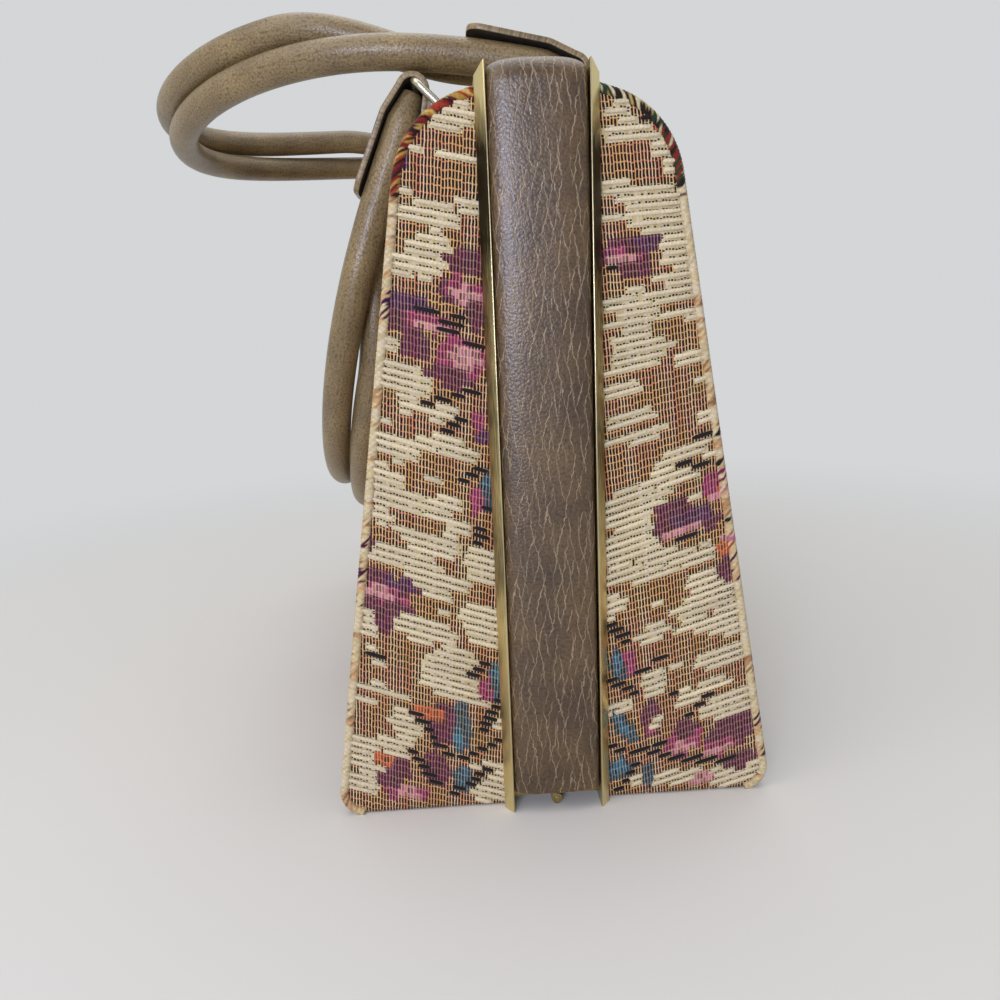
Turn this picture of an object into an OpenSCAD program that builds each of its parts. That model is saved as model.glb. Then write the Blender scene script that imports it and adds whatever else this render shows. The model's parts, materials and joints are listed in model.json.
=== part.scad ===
// Tapestry handbag: two padded half shells on a brass frame that opens on a hinge along its base,
// a leather band closing the gap between them, and two rolled leather handles on swinging rings.
// Millimetres, +Z up. X runs along the bag, Y through its depth, the front shell is on the -Y side.

/* [Shells] */
// Length of the padded shells, end panel to end panel
shell_len = 269.2; // [230:0.1:310]
// Height of the shells at the rim
shell_height = 225.1; // [195:0.1:250]
// Depth of the whole bag across its base
base_depth = 146.4; // [130:0.1:165]
// Depth of the whole bag where its top and side would meet in a sharp edge
shoulder_depth = 77.8; // [72:0.1:84]
// Fall of the top from the rim out to that edge
shoulder_drop_height = 7; // [4:0.1:10]
// Radius of the shoulder
shoulder_radius = 28; // [20:0.5:30]
// Radius of the bottom edge
base_radius = 8; // [6:0.5:12]
// Wall of a shell: card, wadding and tapestry together
wall_thick = 3.2; // [3:0.1:4]
// Cloth of the lining
lining_thick = 0.85; // [0.6:0.05:1.2]

/* [Frame mouldings] */
// Gap between the rims of the two shells
mouth_depth = 31; // [26:0.1:34]
// Sheet of the mouldings
moulding_thick = 0.8; // [0.6:0.05:1]
// Width of the bevelled face
moulding_bevel_width = 2.7; // [2:0.1:3.5]
// Height of the moulding's edge above the cloth
moulding_rise_height = 5.4; // [4.4:0.1:6.4]
// Height of the moulding's outer side above the cloth
moulding_side_width = 2.2; // [1.4:0.1:3]
// Depth of the flange behind the edge
moulding_flange_width = 4.6; // [4:0.1:6]
// Flat on the moulding's edge
moulding_edge_width = 0.4; // [0.2:0.05:0.6]

/* [Leather band] */
// Height of the band's crown above the cloth
band_rise_height = 7; // [6:0.1:8]
// Radius along both edges of the band
band_edge_radius = 4.5; // [2.5:0.1:5.5]
// Radius inside the band where it turns over the top
band_turn_depth = 0.3; // [0.2:0.05:1]
// Open slit between the band's ends and the hinge plates
band_slit_height = 1; // [0.6:0.1:3]

/* [Base hinge] */
// Thickness of the hinge plates
leaf_thick = 2.15; // [1.4:0.05:2.6]
// Reach of each hinge plate from the middle of the bag
leaf_reach = 30; // [26:0.5:38]
// Outer diameter of the knuckles
knuckle_dia = 3.6; // [3.2:0.1:3.8]
// Diameter of the hinge pin
pin_dia = 2; // [1.6:0.1:2.2]
// Knuckles along the hinge, an odd number
knuckle_count = 11; // [7:2:15]
// Rivets in each hinge plate
rivet_count = 6; // [4:1:8]
// Diameter of a rivet's shank
rivet_dia = 3; // [2.4:0.1:3.4]
// Diameter of a rivet's head
rivet_head_dia = 6; // [5:0.1:7]
// Height of a rivet's head
rivet_head_height = 1; // [0.6:0.1:1.4]

/* [Welts] */
// Diameter of the corded welt round each end panel
welt_dia = 3.2; // [2.6:0.1:3.6]

/* [Clasp] */
// Length of the clasp's case along the bag
clasp_len = 44; // [36:0.5:60]
// Depth of the clasp's case across the band
clasp_depth = 15; // [12:0.5:16]
// Height of the clasp's case
clasp_height = 6; // [5.4:0.1:8]
// Width of the tongue
tongue_width = 18; // [12:0.5:24]
// Thickness of the tongue
tongue_thick = 1.2; // [1:0.1:1.6]
// Reach of the tongue inside the case
tongue_reach = 8; // [5:0.5:9]

/* [Rings] */
// Wire of the handle rings
ring_wire_dia = 2.6; // [2.2:0.1:3]
// Height of a ring, bar to bar
ring_height = 14.5; // [13.8:0.1:15.5]
// Depth between the front and the back ring hinges
ring_spread_width = 50; // [48:0.1:52]
// Height of the ring hinges above the rim
ring_rise_height = 0.4; // [0.2:0.1:1.4]
// Outward lean of the front rings
front_ring_lean = 45; // [43:0.1:48]
// Inward lean of the back rings
back_ring_lean = 29.5; // [26:0.1:30]
// Outer diameter of the eyes that hold the rings
eye_dia = 5; // [4.4:0.1:5.4]
// Length of the eyes
eye_len = 14; // [10:0.5:18]

/* [Handles] */
// Diameter of a rolled leather cord
cord_dia = 11; // [10:0.1:11.4]
// Leather of the tabs
tab_thick = 1.9; // [1.4:0.1:2.2]
// Length of a tab's long flap
long_flap_len = 36; // [28:0.5:44]
// Length of a tab's short flap
short_flap_len = 8; // [5:0.5:11]
// Radius inside the fold of a tab
tab_fold_radius = 3.6; // [3.2:0.1:3.8]
// Length over which a tab opens from its fold to the cords
tab_pinch_len = 9; // [8:0.5:12]
// Rounding at the end of the long flap
flap_corner_radius = 5; // [2:0.5:8]
// Distance from an end of the shells to the middle of a tab
handle_inset_len = 44.6; // [38:0.1:54]
// Reach of the front handle from its rings
front_reach = 146; // [140:0.5:152]
// Reach of the back handle from its rings
back_reach = 150; // [144:0.5:162]
// Slant of the front handle as it hangs, from upright
front_hang = 24; // [23.6:0.1:27]
// Upward slant of the back handle where it leaves its rings
back_tilt = 12; // [11.6:0.1:15]
// Bow of the front handle towards the bag at its far end
front_bow_depth = 16; // [10:0.5:16.5]
// Bow of the back handle downwards at its far end
back_bow_depth = 33; // [28:0.5:34]
// Rise of the front handle's inner cord over its outer one, towards the bag
front_lift_height = 11.6; // [11.4:0.1:12]
// Rise of the back handle's inner cord over its outer one, upwards
back_lift_height = 12.6; // [12.4:0.1:15]

/* [Hidden] */
$fn = 64;

// Gap between pieces that are fixed to each other
fit = 0.1;
// Gap between pieces that move past each other
run_gap = 0.35;
// Radial play of the pin in its knuckles and of a ring in its eyes
pin_play = 0.05;
// Play between a ring's bar and the fold of a tab
fold_play = 0.3;
// Side play of a tab in its ring
ring_side_play = 0.6;
// Bend radius of a ring's corners, to the middle of the wire
ring_bend_radius = 2.6;
// Gap between the two cords of a handle, and round them inside a tab
cord_gap = 0.2;
// How far a cut runs past the face it opens
over = 1;
// Depth of the rabbet that the welt lies in
welt_rabbet_depth = 2.2;
// Base left under a blind rivet
rivet_floor_thick = 0.8;
// Extra width of the saddle under an eye, both sides together
saddle_extra_width = 3;
// Height of the tongue's underside above the band
tongue_lift_height = 1.5;
// Play of the tongue in its slot, above and below
tongue_play = 0.5;
// Where the inner cord starts to rise over the outer one and where it is up, as shares of the reach
front_lift_shares = [0.22, 0.66];
back_lift_shares = [0.25, 0.68];
// Sections along a leg and along the bow of a cord, and sides of a section
leg_steps = 16;
bow_steps = 24;
cord_sides = 16;
// Flats along a rounded edge of a profile
arc_steps = 14;

half_len = shell_len / 2;
handle_width = shell_len - 2 * handle_inset_len;
mouth_y = mouth_depth / 2;
flange_y = mouth_y - fit - moulding_thick;
side_y = flange_y + moulding_edge_width + moulding_bevel_width;

// Corners of one half's profile in Y and Z, before rounding, and the outward normals of its edges
rim_pt = [mouth_y, shell_height];
shoulder_pt = [shoulder_depth / 2, shell_height - shoulder_drop_height];
base_pt = [base_depth / 2, 0];
function unit(v) = v / norm(v);
function left_normal(a, b) = unit([a[1] - b[1], b[0] - a[0]]);
top_n = left_normal(rim_pt, shoulder_pt);
side_n = left_normal(shoulder_pt, base_pt);
base_n = [0, -1];
top_a = atan2(top_n[1], top_n[0]);
side_a = atan2(side_n[1], side_n[0]);
base_a = -90;
// Centre of a round of radius r that touches both edges at a corner
function round_centre(corner, n1, n2, r) = corner - (n1 + n2) * r / (1 + n1 * n2);
shoulder_c = round_centre(shoulder_pt, top_n, side_n, shoulder_radius);
base_c = round_centre(base_pt, side_n, base_n, base_radius);
// Height of the top edge at depth y, for a profile set in by inset
function top_z(y, inset) =
    let (p = shoulder_c + top_n * (shoulder_radius - inset))
    p[1] + (p[0] - y) * top_n[0] / top_n[1];

// The welt's centre: in from the profile, and along the bag
welt_in = welt_rabbet_depth - fit - welt_dia / 2;
welt_x = half_len - welt_in;

// Levels at the base: lining on the wall, hinge plate on the lining, knuckles below the plates
lining_out = wall_thick + fit;
lining_in = lining_out + lining_thick;
leaf_z = lining_in + fit;
leaf_top = leaf_z + leaf_thick;
hinge_z = leaf_z - run_gap - knuckle_dia / 2;
hinge_half = half_len + moulding_side_width;
knuckle_pitch = 2 * hinge_half / knuckle_count;
leaf_inner_half = half_len - moulding_flange_width - run_gap;
rivet_y = (mouth_y + leaf_reach) / 2;
rivet_pitch = 2 * leaf_inner_half / rivet_count;

// The band between the flanges: seated on the front one, clear of the back one
band_front = -flange_y + fit;
band_back = flange_y - run_gap;
band_low = leaf_top + band_slit_height;
crown_z = shell_height + band_rise_height;

// Clasp levels
tongue_z = crown_z + tongue_lift_height;
case_front = -clasp_depth / 2;
tongue_leg_y = side_y + fit;

// Rings and the bars the handles hang on
ring_y = ring_spread_width / 2;
ring_z = shell_height + ring_rise_height;
tab_width = 2 * cord_dia + cord_gap;
ring_half = tab_width / 2 + ring_side_play + ring_bend_radius;
front_bar = [-ring_y - ring_height * sin(front_ring_lean), ring_z + ring_height * cos(front_ring_lean)];
back_bar = [ring_y - ring_height * sin(back_ring_lean), ring_z + ring_height * cos(back_ring_lean)];
flap_in = cord_dia / 2 + cord_gap;
flap_out = flap_in + tab_thick;
fold_in = tab_fold_radius;
fold_out = fold_in + tab_thick;
fold_c = fold_in - ring_wire_dia / 2 - fold_play;
pinch_end = fold_c + tab_pinch_len;
short_open = (flap_in - fold_in) * short_flap_len / tab_pinch_len;
cord_start = fold_c + cord_gap;
cord_step = cord_dia + cord_gap;
bow_start = pinch_end;
front_turn = 270 - front_hang;
back_turn = 180 - back_tilt;

// Depth Y and height Z drawn flat, pushed out along X
module along_x(length) {
    rotate([90, 0, 90]) linear_extrude(height = length, center = true) children();
}

// Points of an arc about a centre, from one direction to another
function arc(centre, r, from, to) =
    [for (i = [0 : arc_steps])
        let (a = from + (to - from) * i / arc_steps) centre + r * [cos(a), sin(a)]];

// Profile of one half, set in by inset, open to the middle at depth y0
module half_profile(inset, y0) {
    polygon(concat(
        [[y0, top_z(y0, inset)]],
        arc(shoulder_c, shoulder_radius - inset, top_a, side_a),
        arc(base_c, base_radius - inset, side_a, base_a),
        [[y0, inset]]));
}

// That profile along the bag, with its ends set in by end_inset
module half_solid(inset, end_inset, y0) {
    along_x(2 * (half_len - end_inset)) half_profile(inset, y0);
}

// The rivets' places along one hinge plate
module at_rivets() {
    for (i = [0 : rivet_count - 1])
        translate([(i - (rivet_count - 1) / 2) * rivet_pitch, rivet_y, 0]) children();
}

module rivet_holes(z0) {
    at_rivets() translate([0, 0, z0]) cylinder(d = rivet_dia + 2 * fit, h = leaf_top + over - z0);
}

// The welt in the rabbet of one end panel: round the shoulder and down the side
module welt(side) {
    p2 = shoulder_c + side_n * (shoulder_radius - welt_in);
    p3 = base_c + side_n * (base_radius - welt_in);
    translate([side * welt_x, 0, 0]) {
        translate([0, shoulder_c[0], shoulder_c[1]]) rotate([90, 0, 90]) rotate([0, 0, side_a])
            rotate_extrude(angle = top_a - side_a) translate([shoulder_radius - welt_in, 0])
                circle(d = welt_dia);
        translate([0, p2[0], p2[1]]) rotate([side_a, 0, 0]) rotate([180, 0, 0])
            cylinder(d = welt_dia, h = norm(p3 - p2));
    }
}

// A tray with a rabbet for the welt round each end
module half_shell() {
    difference() {
        union() {
            half_solid(0, welt_rabbet_depth, mouth_y);
            half_solid(welt_rabbet_depth, 0, mouth_y);
            translate([-half_len, mouth_y, 0]) cube([shell_len, base_c[0] - mouth_y, wall_thick]);
        }
        half_solid(wall_thick, wall_thick, mouth_y - over);
        rivet_holes(rivet_floor_thick);
    }
}

module half_lining() {
    difference() {
        half_solid(lining_out, lining_out, mouth_y);
        half_solid(lining_in, lining_in, mouth_y - over);
        rivet_holes(0);
    }
}

// Section of a moulding: depth from the middle across, height above the cloth up
module moulding_section() {
    polygon([[flange_y, -moulding_flange_width], [flange_y, moulding_rise_height],
        [flange_y + moulding_edge_width, moulding_rise_height], [side_y, moulding_side_width], [side_y, fit],
        [side_y - moulding_thick, fit], [side_y - moulding_thick, moulding_side_width - moulding_thick / 2],
        [flange_y + moulding_thick, moulding_rise_height - 2 * moulding_thick],
        [flange_y + moulding_thick, -moulding_flange_width]]);
}

// Everything on the outer side of the mitre at one top corner, seen along Y
module mitre_side(side) {
    far = shell_height + shell_len;
    translate([side * half_len, 0, shell_height]) rotate([90, 0, 0])
        linear_extrude(height = 2 * base_depth, center = true)
            polygon([[-side * far, -far], [side * far, far], [side * far, -far]]);
}

module half_moulding() {
    run = 2 * (half_len + moulding_rise_height + over);
    difference() {
        translate([0, 0, shell_height]) along_x(run) moulding_section();
        for (side = [-1, 1])
            mitre_side(side);
    }
    for (side = [-1, 1])
        intersection() {
            translate([side * half_len, 0, fit]) rotate([0, 0, 90]) mirror([0, side > 0 ? 1 : 0, 0])
                linear_extrude(height = shell_height + moulding_rise_height + over) moulding_section();
            mitre_side(side);
        }
}

// Section of the band: depth across, height above the cloth up, rounded along both outer edges
module band_section() {
    r = band_edge_radius;
    polygon(concat(
        [[band_front, 0]],
        arc([band_front + r, band_rise_height - r], r, 180, 90),
        arc([band_back - r, band_rise_height - r], r, 90, 0),
        [[band_back, 0]]));
}

module centre_band() {
    turn_x = half_len - band_turn_depth;
    turn_z = shell_height - band_turn_depth;
    color("DimGray") {
        translate([0, 0, shell_height]) along_x(2 * turn_x) band_section();
        for (side = [-1, 1])
            mirror([side < 0 ? 1 : 0, 0, 0]) {
                translate([half_len, 0, band_low]) mirror([1, -1, 0])
                    linear_extrude(height = turn_z - band_low) band_section();
                translate([turn_x, 0, turn_z]) rotate([-90, 0, 0]) rotate([0, 0, -90])
                    rotate_extrude(angle = 90) translate([band_turn_depth, 0]) mirror([1, -1, 0])
                        band_section();
            }
    }
}

// One hinge plate with the knuckles whose number has the given parity
module hinge_leaf(parity) {
    difference() {
        union() {
            translate([-hinge_half, run_gap / 2, leaf_z])
                cube([2 * hinge_half, flange_y - run_gap, leaf_thick]);
            translate([-leaf_inner_half, run_gap / 2, leaf_z])
                cube([2 * leaf_inner_half, leaf_reach - run_gap / 2, leaf_thick]);
            for (i = [0 : knuckle_count - 1])
                if (i % 2 == parity)
                    translate([-hinge_half + i * knuckle_pitch + run_gap / 2, 0, 0]) {
                        translate([0, 0, hinge_z]) rotate([0, 90, 0])
                            cylinder(d = knuckle_dia, h = knuckle_pitch - run_gap);
                        translate([0, run_gap / 2, hinge_z])
                            cube([knuckle_pitch - run_gap, knuckle_dia / 2 - run_gap / 2, leaf_z - hinge_z]);
                    }
        }
        translate([-hinge_half - over, 0, hinge_z]) rotate([0, 90, 0])
            cylinder(d = pin_dia + 2 * pin_play, h = 2 * (hinge_half + over));
        rivet_holes(0);
    }
}

module leaf_rivets() {
    at_rivets() {
        translate([0, 0, rivet_floor_thick + fit]) cylinder(d = rivet_dia, h = leaf_top - rivet_floor_thick);
        translate([0, 0, leaf_top + fit]) cylinder(d = rivet_head_dia, h = rivet_head_height);
    }
}

module hinge_pin() {
    color("DarkGoldenrod") translate([-hinge_half, 0, hinge_z]) rotate([0, 90, 0])
        cylinder(d = pin_dia, h = 2 * hinge_half);
}

// Case on the crown of the band, with a slot for the tongue
module clasp_case() {
    slot = tongue_thick + 2 * tongue_play;
    color("Goldenrod") difference() {
        translate([-clasp_len / 2, case_front, crown_z + fit]) cube([clasp_len, clasp_depth, clasp_height]);
        translate([-tongue_width / 2 - tongue_play, case_front + clasp_depth - tongue_reach - tongue_play,
            tongue_z - tongue_play])
            cube([tongue_width + 2 * tongue_play, tongue_reach + tongue_play + over, slot]);
    }
}

// Tongue on the back moulding, reaching over the band into the case
module clasp_tongue() {
    tongue_in = case_front + clasp_depth - tongue_reach;
    tongue_out = tongue_leg_y + tongue_thick;
    leg_low = shell_height + fit;
    color("Goldenrod") {
        translate([-tongue_width / 2, tongue_in, tongue_z])
            cube([tongue_width, tongue_out - tongue_in, tongue_thick]);
        translate([-tongue_width / 2, tongue_leg_y, leg_low])
            cube([tongue_width, tongue_thick, tongue_z + tongue_thick - leg_low]);
    }
}

// Eye for a ring on the back half, on a saddle cut to the curve of the shell
module eye(x) {
    saddle = eye_dia + saddle_extra_width;
    translate([x, 0, 0]) difference() {
        union() {
            translate([-eye_len / 2, ring_y, ring_z]) rotate([0, 90, 0]) cylinder(d = eye_dia, h = eye_len);
            translate([-eye_len / 2, ring_y - saddle / 2, shell_height - shoulder_drop_height])
                cube([eye_len, saddle, shoulder_drop_height]);
            translate([-eye_len / 2, ring_y - eye_dia / 2, shell_height - shoulder_drop_height])
                cube([eye_len, eye_dia, ring_z - shell_height + shoulder_drop_height]);
        }
        translate([-eye_len, ring_y, ring_z]) rotate([0, 90, 0])
            cylinder(d = ring_wire_dia + 2 * pin_play, h = 2 * eye_len);
        half_solid(-fit, -fit, mouth_y - over);
    }
}

// A ring in its own plane: hinge bar at zero, handle bar at its height along Y, bent corners
module ring() {
    bar = ring_half - ring_bend_radius;
    leg = ring_height - 2 * ring_bend_radius;
    for (y = [0, ring_height])
        translate([-bar, y, 0]) rotate([0, 90, 0]) cylinder(d = ring_wire_dia, h = 2 * bar);
    for (side = [-1, 1])
        translate([side * ring_half, ring_bend_radius, 0])
            rotate([-90, 0, 0]) cylinder(d = ring_wire_dia, h = leg);
    for (i = [0 : 3])
        translate([(i == 0 || i == 3 ? 1 : -1) * bar,
                i < 2 ? ring_height - ring_bend_radius : ring_bend_radius, 0])
            rotate([0, 0, 90 * i]) rotate_extrude(angle = 90)
                translate([ring_bend_radius, 0]) circle(d = ring_wire_dia);
}

module front_ring(side) {
    translate([side * handle_width / 2, -ring_y, ring_z]) rotate([90 + front_ring_lean, 0, 0]) ring();
}

module back_ring(side) {
    translate([side * handle_width / 2, ring_y, ring_z]) rotate([90 + back_ring_lean, 0, 0]) ring();
}

// A tab in the handle's frame: bar at zero, handle along Y, long flap on the -Z side
module tab(x) {
    translate([x, 0, 0]) intersection() {
        along_x(tab_width)
            polygon(concat(
                [[fold_c + short_flap_len, fold_in + short_open]],
                arc([fold_c, 0], fold_in, 90, 270),
                [[pinch_end, -flap_in], [fold_c + long_flap_len, -flap_in]],
                [[fold_c + long_flap_len, -flap_out], [pinch_end, -flap_out]],
                arc([fold_c, 0], fold_out, 270, 90),
                [[fold_c + short_flap_len, fold_out + short_open]]));
        translate([0, 0, -2 * fold_out]) linear_extrude(height = 4 * fold_out) {
            translate([-tab_width / 2, -2 * fold_out])
                square([tab_width, fold_c + long_flap_len - flap_corner_radius + 2 * fold_out]);
            translate([-tab_width / 2 + flap_corner_radius, 0])
                square([tab_width - 2 * flap_corner_radius, fold_c + long_flap_len]);
            for (side = [-1, 1])
                translate([side * (tab_width / 2 - flap_corner_radius),
                        fold_c + long_flap_len - flap_corner_radius])
                    circle(r = flap_corner_radius);
        }
    }
}

// Smooth rise from 0 to 1
function smooth(t) = let (c = min(max(t, 0), 1)) c * c * (3 - 2 * c);

// Centre line of a cord: two legs and a half-round bow, bent out of its plane, the inner one rising too
function cord_path(x, bow, reach, bend, lift, lift_shares) =
    let (share = function (u) (u / reach - lift_shares[0]) / (lift_shares[1] - lift_shares[0]))
    let (bent = function (u) bend * pow(max(u - bow_start, 0) / (reach - bow_start), 2))
    let (off = function (u) bent(u) + lift * smooth(share(u)))
    let (leg = [for (i = [0 : leg_steps]) cord_start + (bow - cord_start) * i / leg_steps])
    concat(
        [for (u = leg) [x, u, off(u)]],
        [for (j = [1 : bow_steps - 1])
            let (u = bow + x * sin(180 * j / bow_steps)) [x * cos(180 * j / bow_steps), u, off(u)]],
        [for (i = [0 : leg_steps]) [-x, leg[leg_steps - i], off(leg[leg_steps - i])]]);

// Radius of a cord at distance u from the rings: drawn in where it lies in the fold of a tab
function cord_radius(u) =
    cord_dia / 2 - (flap_in - fold_in) * max(pinch_end - u, 0) / tab_pinch_len;

// A cord along a list of points
module cord(path) {
    n = len(path);
    function along(i) = i == 0 || i == n - 1 ? [0, i == 0 ? 1 : -1, 0] : unit(path[i + 1] - path[i - 1]);
    points = [for (i = [0 : n - 1])
        let (t = along(i), s = unit(cross(t, [0, 0, 1])), u = cross(s, t), r = cord_radius(path[i][1]))
        for (k = [0 : cord_sides - 1])
            path[i] + r * (s * cos(360 * k / cord_sides) + u * sin(360 * k / cord_sides))];
    sides = [for (i = [0 : n - 2]) for (k = [0 : cord_sides - 1])
        let (a = i * cord_sides + k, b = i * cord_sides + (k + 1) % cord_sides)
        for (f = [[a, a + cord_sides, b], [b, a + cord_sides, b + cord_sides]]) f];
    first = [for (k = [0 : cord_sides - 1]) k];
    last = [for (k = [cord_sides - 1 : -1 : 0]) (n - 1) * cord_sides + k];
    polyhedron(points = points, faces = concat([first], sides, [last]), convexity = 6);
}

module outer_cord(reach, bend) {
    x = (handle_width + cord_step) / 2;
    cord(cord_path(x, reach - x, reach, bend, 0, front_lift_shares));
}

// As long as the outer cord on a narrower spacing, so its bow crosses over and reaches further
module inner_cord(reach, bend, lift, lift_shares) {
    x = (handle_width - cord_step) / 2;
    bow = reach - x - cord_step + cord_step * PI / 2;
    cord(cord_path(x, bow, reach, bend, lift, lift_shares));
}

module at_front_bar() {
    translate([0, front_bar[0], front_bar[1]]) rotate([front_turn, 0, 0]) children();
}

module at_back_bar() {
    translate([0, back_bar[0], back_bar[1]]) rotate([back_turn, 0, 0]) children();
}

module at_front() {
    mirror([0, 1, 0]) children();
}

module front_shell() {
    color("Tan") at_front() half_shell();
}

module back_shell() {
    color("Tan") half_shell();
}

module front_lining() {
    color("SaddleBrown") at_front() half_lining();
}

module back_lining() {
    color("SaddleBrown") half_lining();
}

module front_moulding() {
    color("Goldenrod") at_front() half_moulding();
}

module back_moulding() {
    color("Goldenrod") half_moulding();
}

module front_hinge_leaf() {
    color("Goldenrod") at_front() hinge_leaf(0);
}

module back_hinge_leaf() {
    color("Goldenrod") hinge_leaf(1);
}

module front_leaf_rivets() {
    color("DarkGoldenrod") at_front() leaf_rivets();
}

module back_leaf_rivets() {
    color("DarkGoldenrod") leaf_rivets();
}

module front_welt_left() {
    color("Wheat") at_front() welt(-1);
}

module front_welt_right() {
    color("Wheat") at_front() welt(1);
}

module back_welt_left() {
    color("Wheat") welt(-1);
}

module back_welt_right() {
    color("Wheat") welt(1);
}

module front_eye_left() {
    color("Goldenrod") at_front() eye(-handle_width / 2);
}

module front_eye_right() {
    color("Goldenrod") at_front() eye(handle_width / 2);
}

module back_eye_left() {
    color("Goldenrod") eye(-handle_width / 2);
}

module back_eye_right() {
    color("Goldenrod") eye(handle_width / 2);
}

module front_ring_left() {
    color("Silver") front_ring(-1);
}

module front_ring_right() {
    color("Silver") front_ring(1);
}

module back_ring_left() {
    color("Silver") back_ring(-1);
}

module back_ring_right() {
    color("Silver") back_ring(1);
}

module front_tab_left() {
    color("Sienna") at_front_bar() tab(-handle_width / 2);
}

module front_tab_right() {
    color("Sienna") at_front_bar() tab(handle_width / 2);
}

module back_tab_left() {
    color("Sienna") at_back_bar() tab(-handle_width / 2);
}

module back_tab_right() {
    color("Sienna") at_back_bar() tab(handle_width / 2);
}

module front_cord_outer() {
    color("Sienna") at_front_bar() outer_cord(front_reach, front_bow_depth);
}

module front_cord_inner() {
    color("Sienna") at_front_bar()
        inner_cord(front_reach, front_bow_depth, front_lift_height, front_lift_shares);
}

module back_cord_outer() {
    color("Sienna") at_back_bar() outer_cord(back_reach, back_bow_depth);
}

module back_cord_inner() {
    color("Sienna") at_back_bar() inner_cord(back_reach, back_bow_depth, -back_lift_height, back_lift_shares);
}

front_shell();
back_shell();
front_lining();
back_lining();
front_moulding();
back_moulding();
centre_band();
front_hinge_leaf();
back_hinge_leaf();
hinge_pin();
front_leaf_rivets();
back_leaf_rivets();
front_welt_left();
front_welt_right();
back_welt_left();
back_welt_right();
clasp_case();
clasp_tongue();
front_eye_left();
front_eye_right();
back_eye_left();
back_eye_right();
front_ring_left();
front_ring_right();
back_ring_left();
back_ring_right();
front_tab_left();
front_tab_right();
back_tab_left();
back_tab_right();
front_cord_outer();
front_cord_inner();
back_cord_outer();
back_cord_inner();
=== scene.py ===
"""Looks of the tapestry frame handbag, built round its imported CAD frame.

Each half of the bag is a card shell under woven tapestry: a ground of thin warps over dark gaps, drawn by a
material, and fat weft floats laid on it as real threads. Between the halves stands a grained leather band,
edged by brass mouldings. Two handles of rolled leather cords hang on wire rings by folded leather tabs.
Lengths are in millimetres until they reach a mesh or a shader, where MM turns them into metres.
"""

from __future__ import annotations

import json
import logging
import math
from collections.abc import Iterable, Sequence
from dataclasses import dataclass, field
from enum import Enum

import bmesh
import bpy
import numpy as np
from mathutils import Matrix, Vector

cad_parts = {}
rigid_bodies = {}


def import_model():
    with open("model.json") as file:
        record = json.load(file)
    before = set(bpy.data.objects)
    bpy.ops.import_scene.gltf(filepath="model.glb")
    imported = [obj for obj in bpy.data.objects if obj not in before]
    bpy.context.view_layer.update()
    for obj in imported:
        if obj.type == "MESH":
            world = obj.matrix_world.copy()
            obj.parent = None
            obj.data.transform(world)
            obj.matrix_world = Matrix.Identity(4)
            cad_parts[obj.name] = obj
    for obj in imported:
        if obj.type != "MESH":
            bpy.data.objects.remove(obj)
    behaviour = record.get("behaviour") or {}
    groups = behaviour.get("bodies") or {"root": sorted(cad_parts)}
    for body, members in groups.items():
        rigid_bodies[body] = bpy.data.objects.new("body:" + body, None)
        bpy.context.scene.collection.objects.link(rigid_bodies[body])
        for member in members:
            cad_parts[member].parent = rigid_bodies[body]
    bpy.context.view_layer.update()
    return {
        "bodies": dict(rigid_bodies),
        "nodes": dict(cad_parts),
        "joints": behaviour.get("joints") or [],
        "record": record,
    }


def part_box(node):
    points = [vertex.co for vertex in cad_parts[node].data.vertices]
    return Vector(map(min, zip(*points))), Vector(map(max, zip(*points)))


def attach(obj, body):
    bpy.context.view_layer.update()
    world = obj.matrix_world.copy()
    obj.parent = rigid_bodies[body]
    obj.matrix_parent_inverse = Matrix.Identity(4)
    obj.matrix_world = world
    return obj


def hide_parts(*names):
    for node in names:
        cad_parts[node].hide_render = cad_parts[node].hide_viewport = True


LOG = logging.getLogger("handbag")
MM = 0.001
RIM_REACH = 0.3
MERGE_REACH = 0.01
WAVE_RATE = 20  # radians that Blender's wave texture turns by over one unit of its scale
FRONT, BACK = -1, 1
LEFT, RIGHT = -1, 1
HALF_NAMES = {FRONT: "front", BACK: "back"}
END_NAMES = {LEFT: "left", RIGHT: "right"}


def srgb(code: str) -> tuple[float, float, float, float]:
    """Turn a colour as written on screen into the linear one that shaders use.

    Args:
        code: Hex colour such as "#a08050".

    Returns:
        Linear red, green, blue and an alpha of 1.
    """
    parts = [int(code[i : i + 2], 16) / 255 for i in (1, 3, 5)]
    red, green, blue = (c / 12.92 if c <= 0.04045 else ((c + 0.055) / 1.055) ** 2.4 for c in parts)
    return red, green, blue, 1.0


def feed(node: bpy.types.Node, inputs: dict) -> None:
    """Set a node's inputs.

    Args:
        node: Node in its tree.
        inputs: Socket name or index to a value, a socket that feeds it, or a node whose first output does.
    """
    for key, value in inputs.items():
        source = value.outputs[0] if isinstance(value, bpy.types.Node) else value
        if isinstance(source, bpy.types.NodeSocket):
            node.id_data.links.new(source, node.inputs[key])
        else:
            node.inputs[key].default_value = source


def add_node(
    tree: bpy.types.NodeTree, kind: str, inputs: dict | None = None, **settings: object
) -> bpy.types.Node:
    """Add a node with its settings, values and links.

    Args:
        tree: Node tree that the node goes into.
        kind: Blender's name of the node type.
        inputs: What goes into its sockets, as for feed.
        settings: Properties of the node itself. A list of stops fills a colour ramp.

    Returns:
        The new node.
    """
    node = tree.nodes.new(kind)
    stops = settings.pop("stops", ())
    for name, value in settings.items():
        setattr(node, name, value)
    feed(node, inputs or {})
    for number, (place, code) in enumerate(stops):
        elements = node.color_ramp.elements
        element = elements[number] if number < len(elements) else elements.new(place)
        element.position = place
        element.color = srgb(code)
    return node


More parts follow.
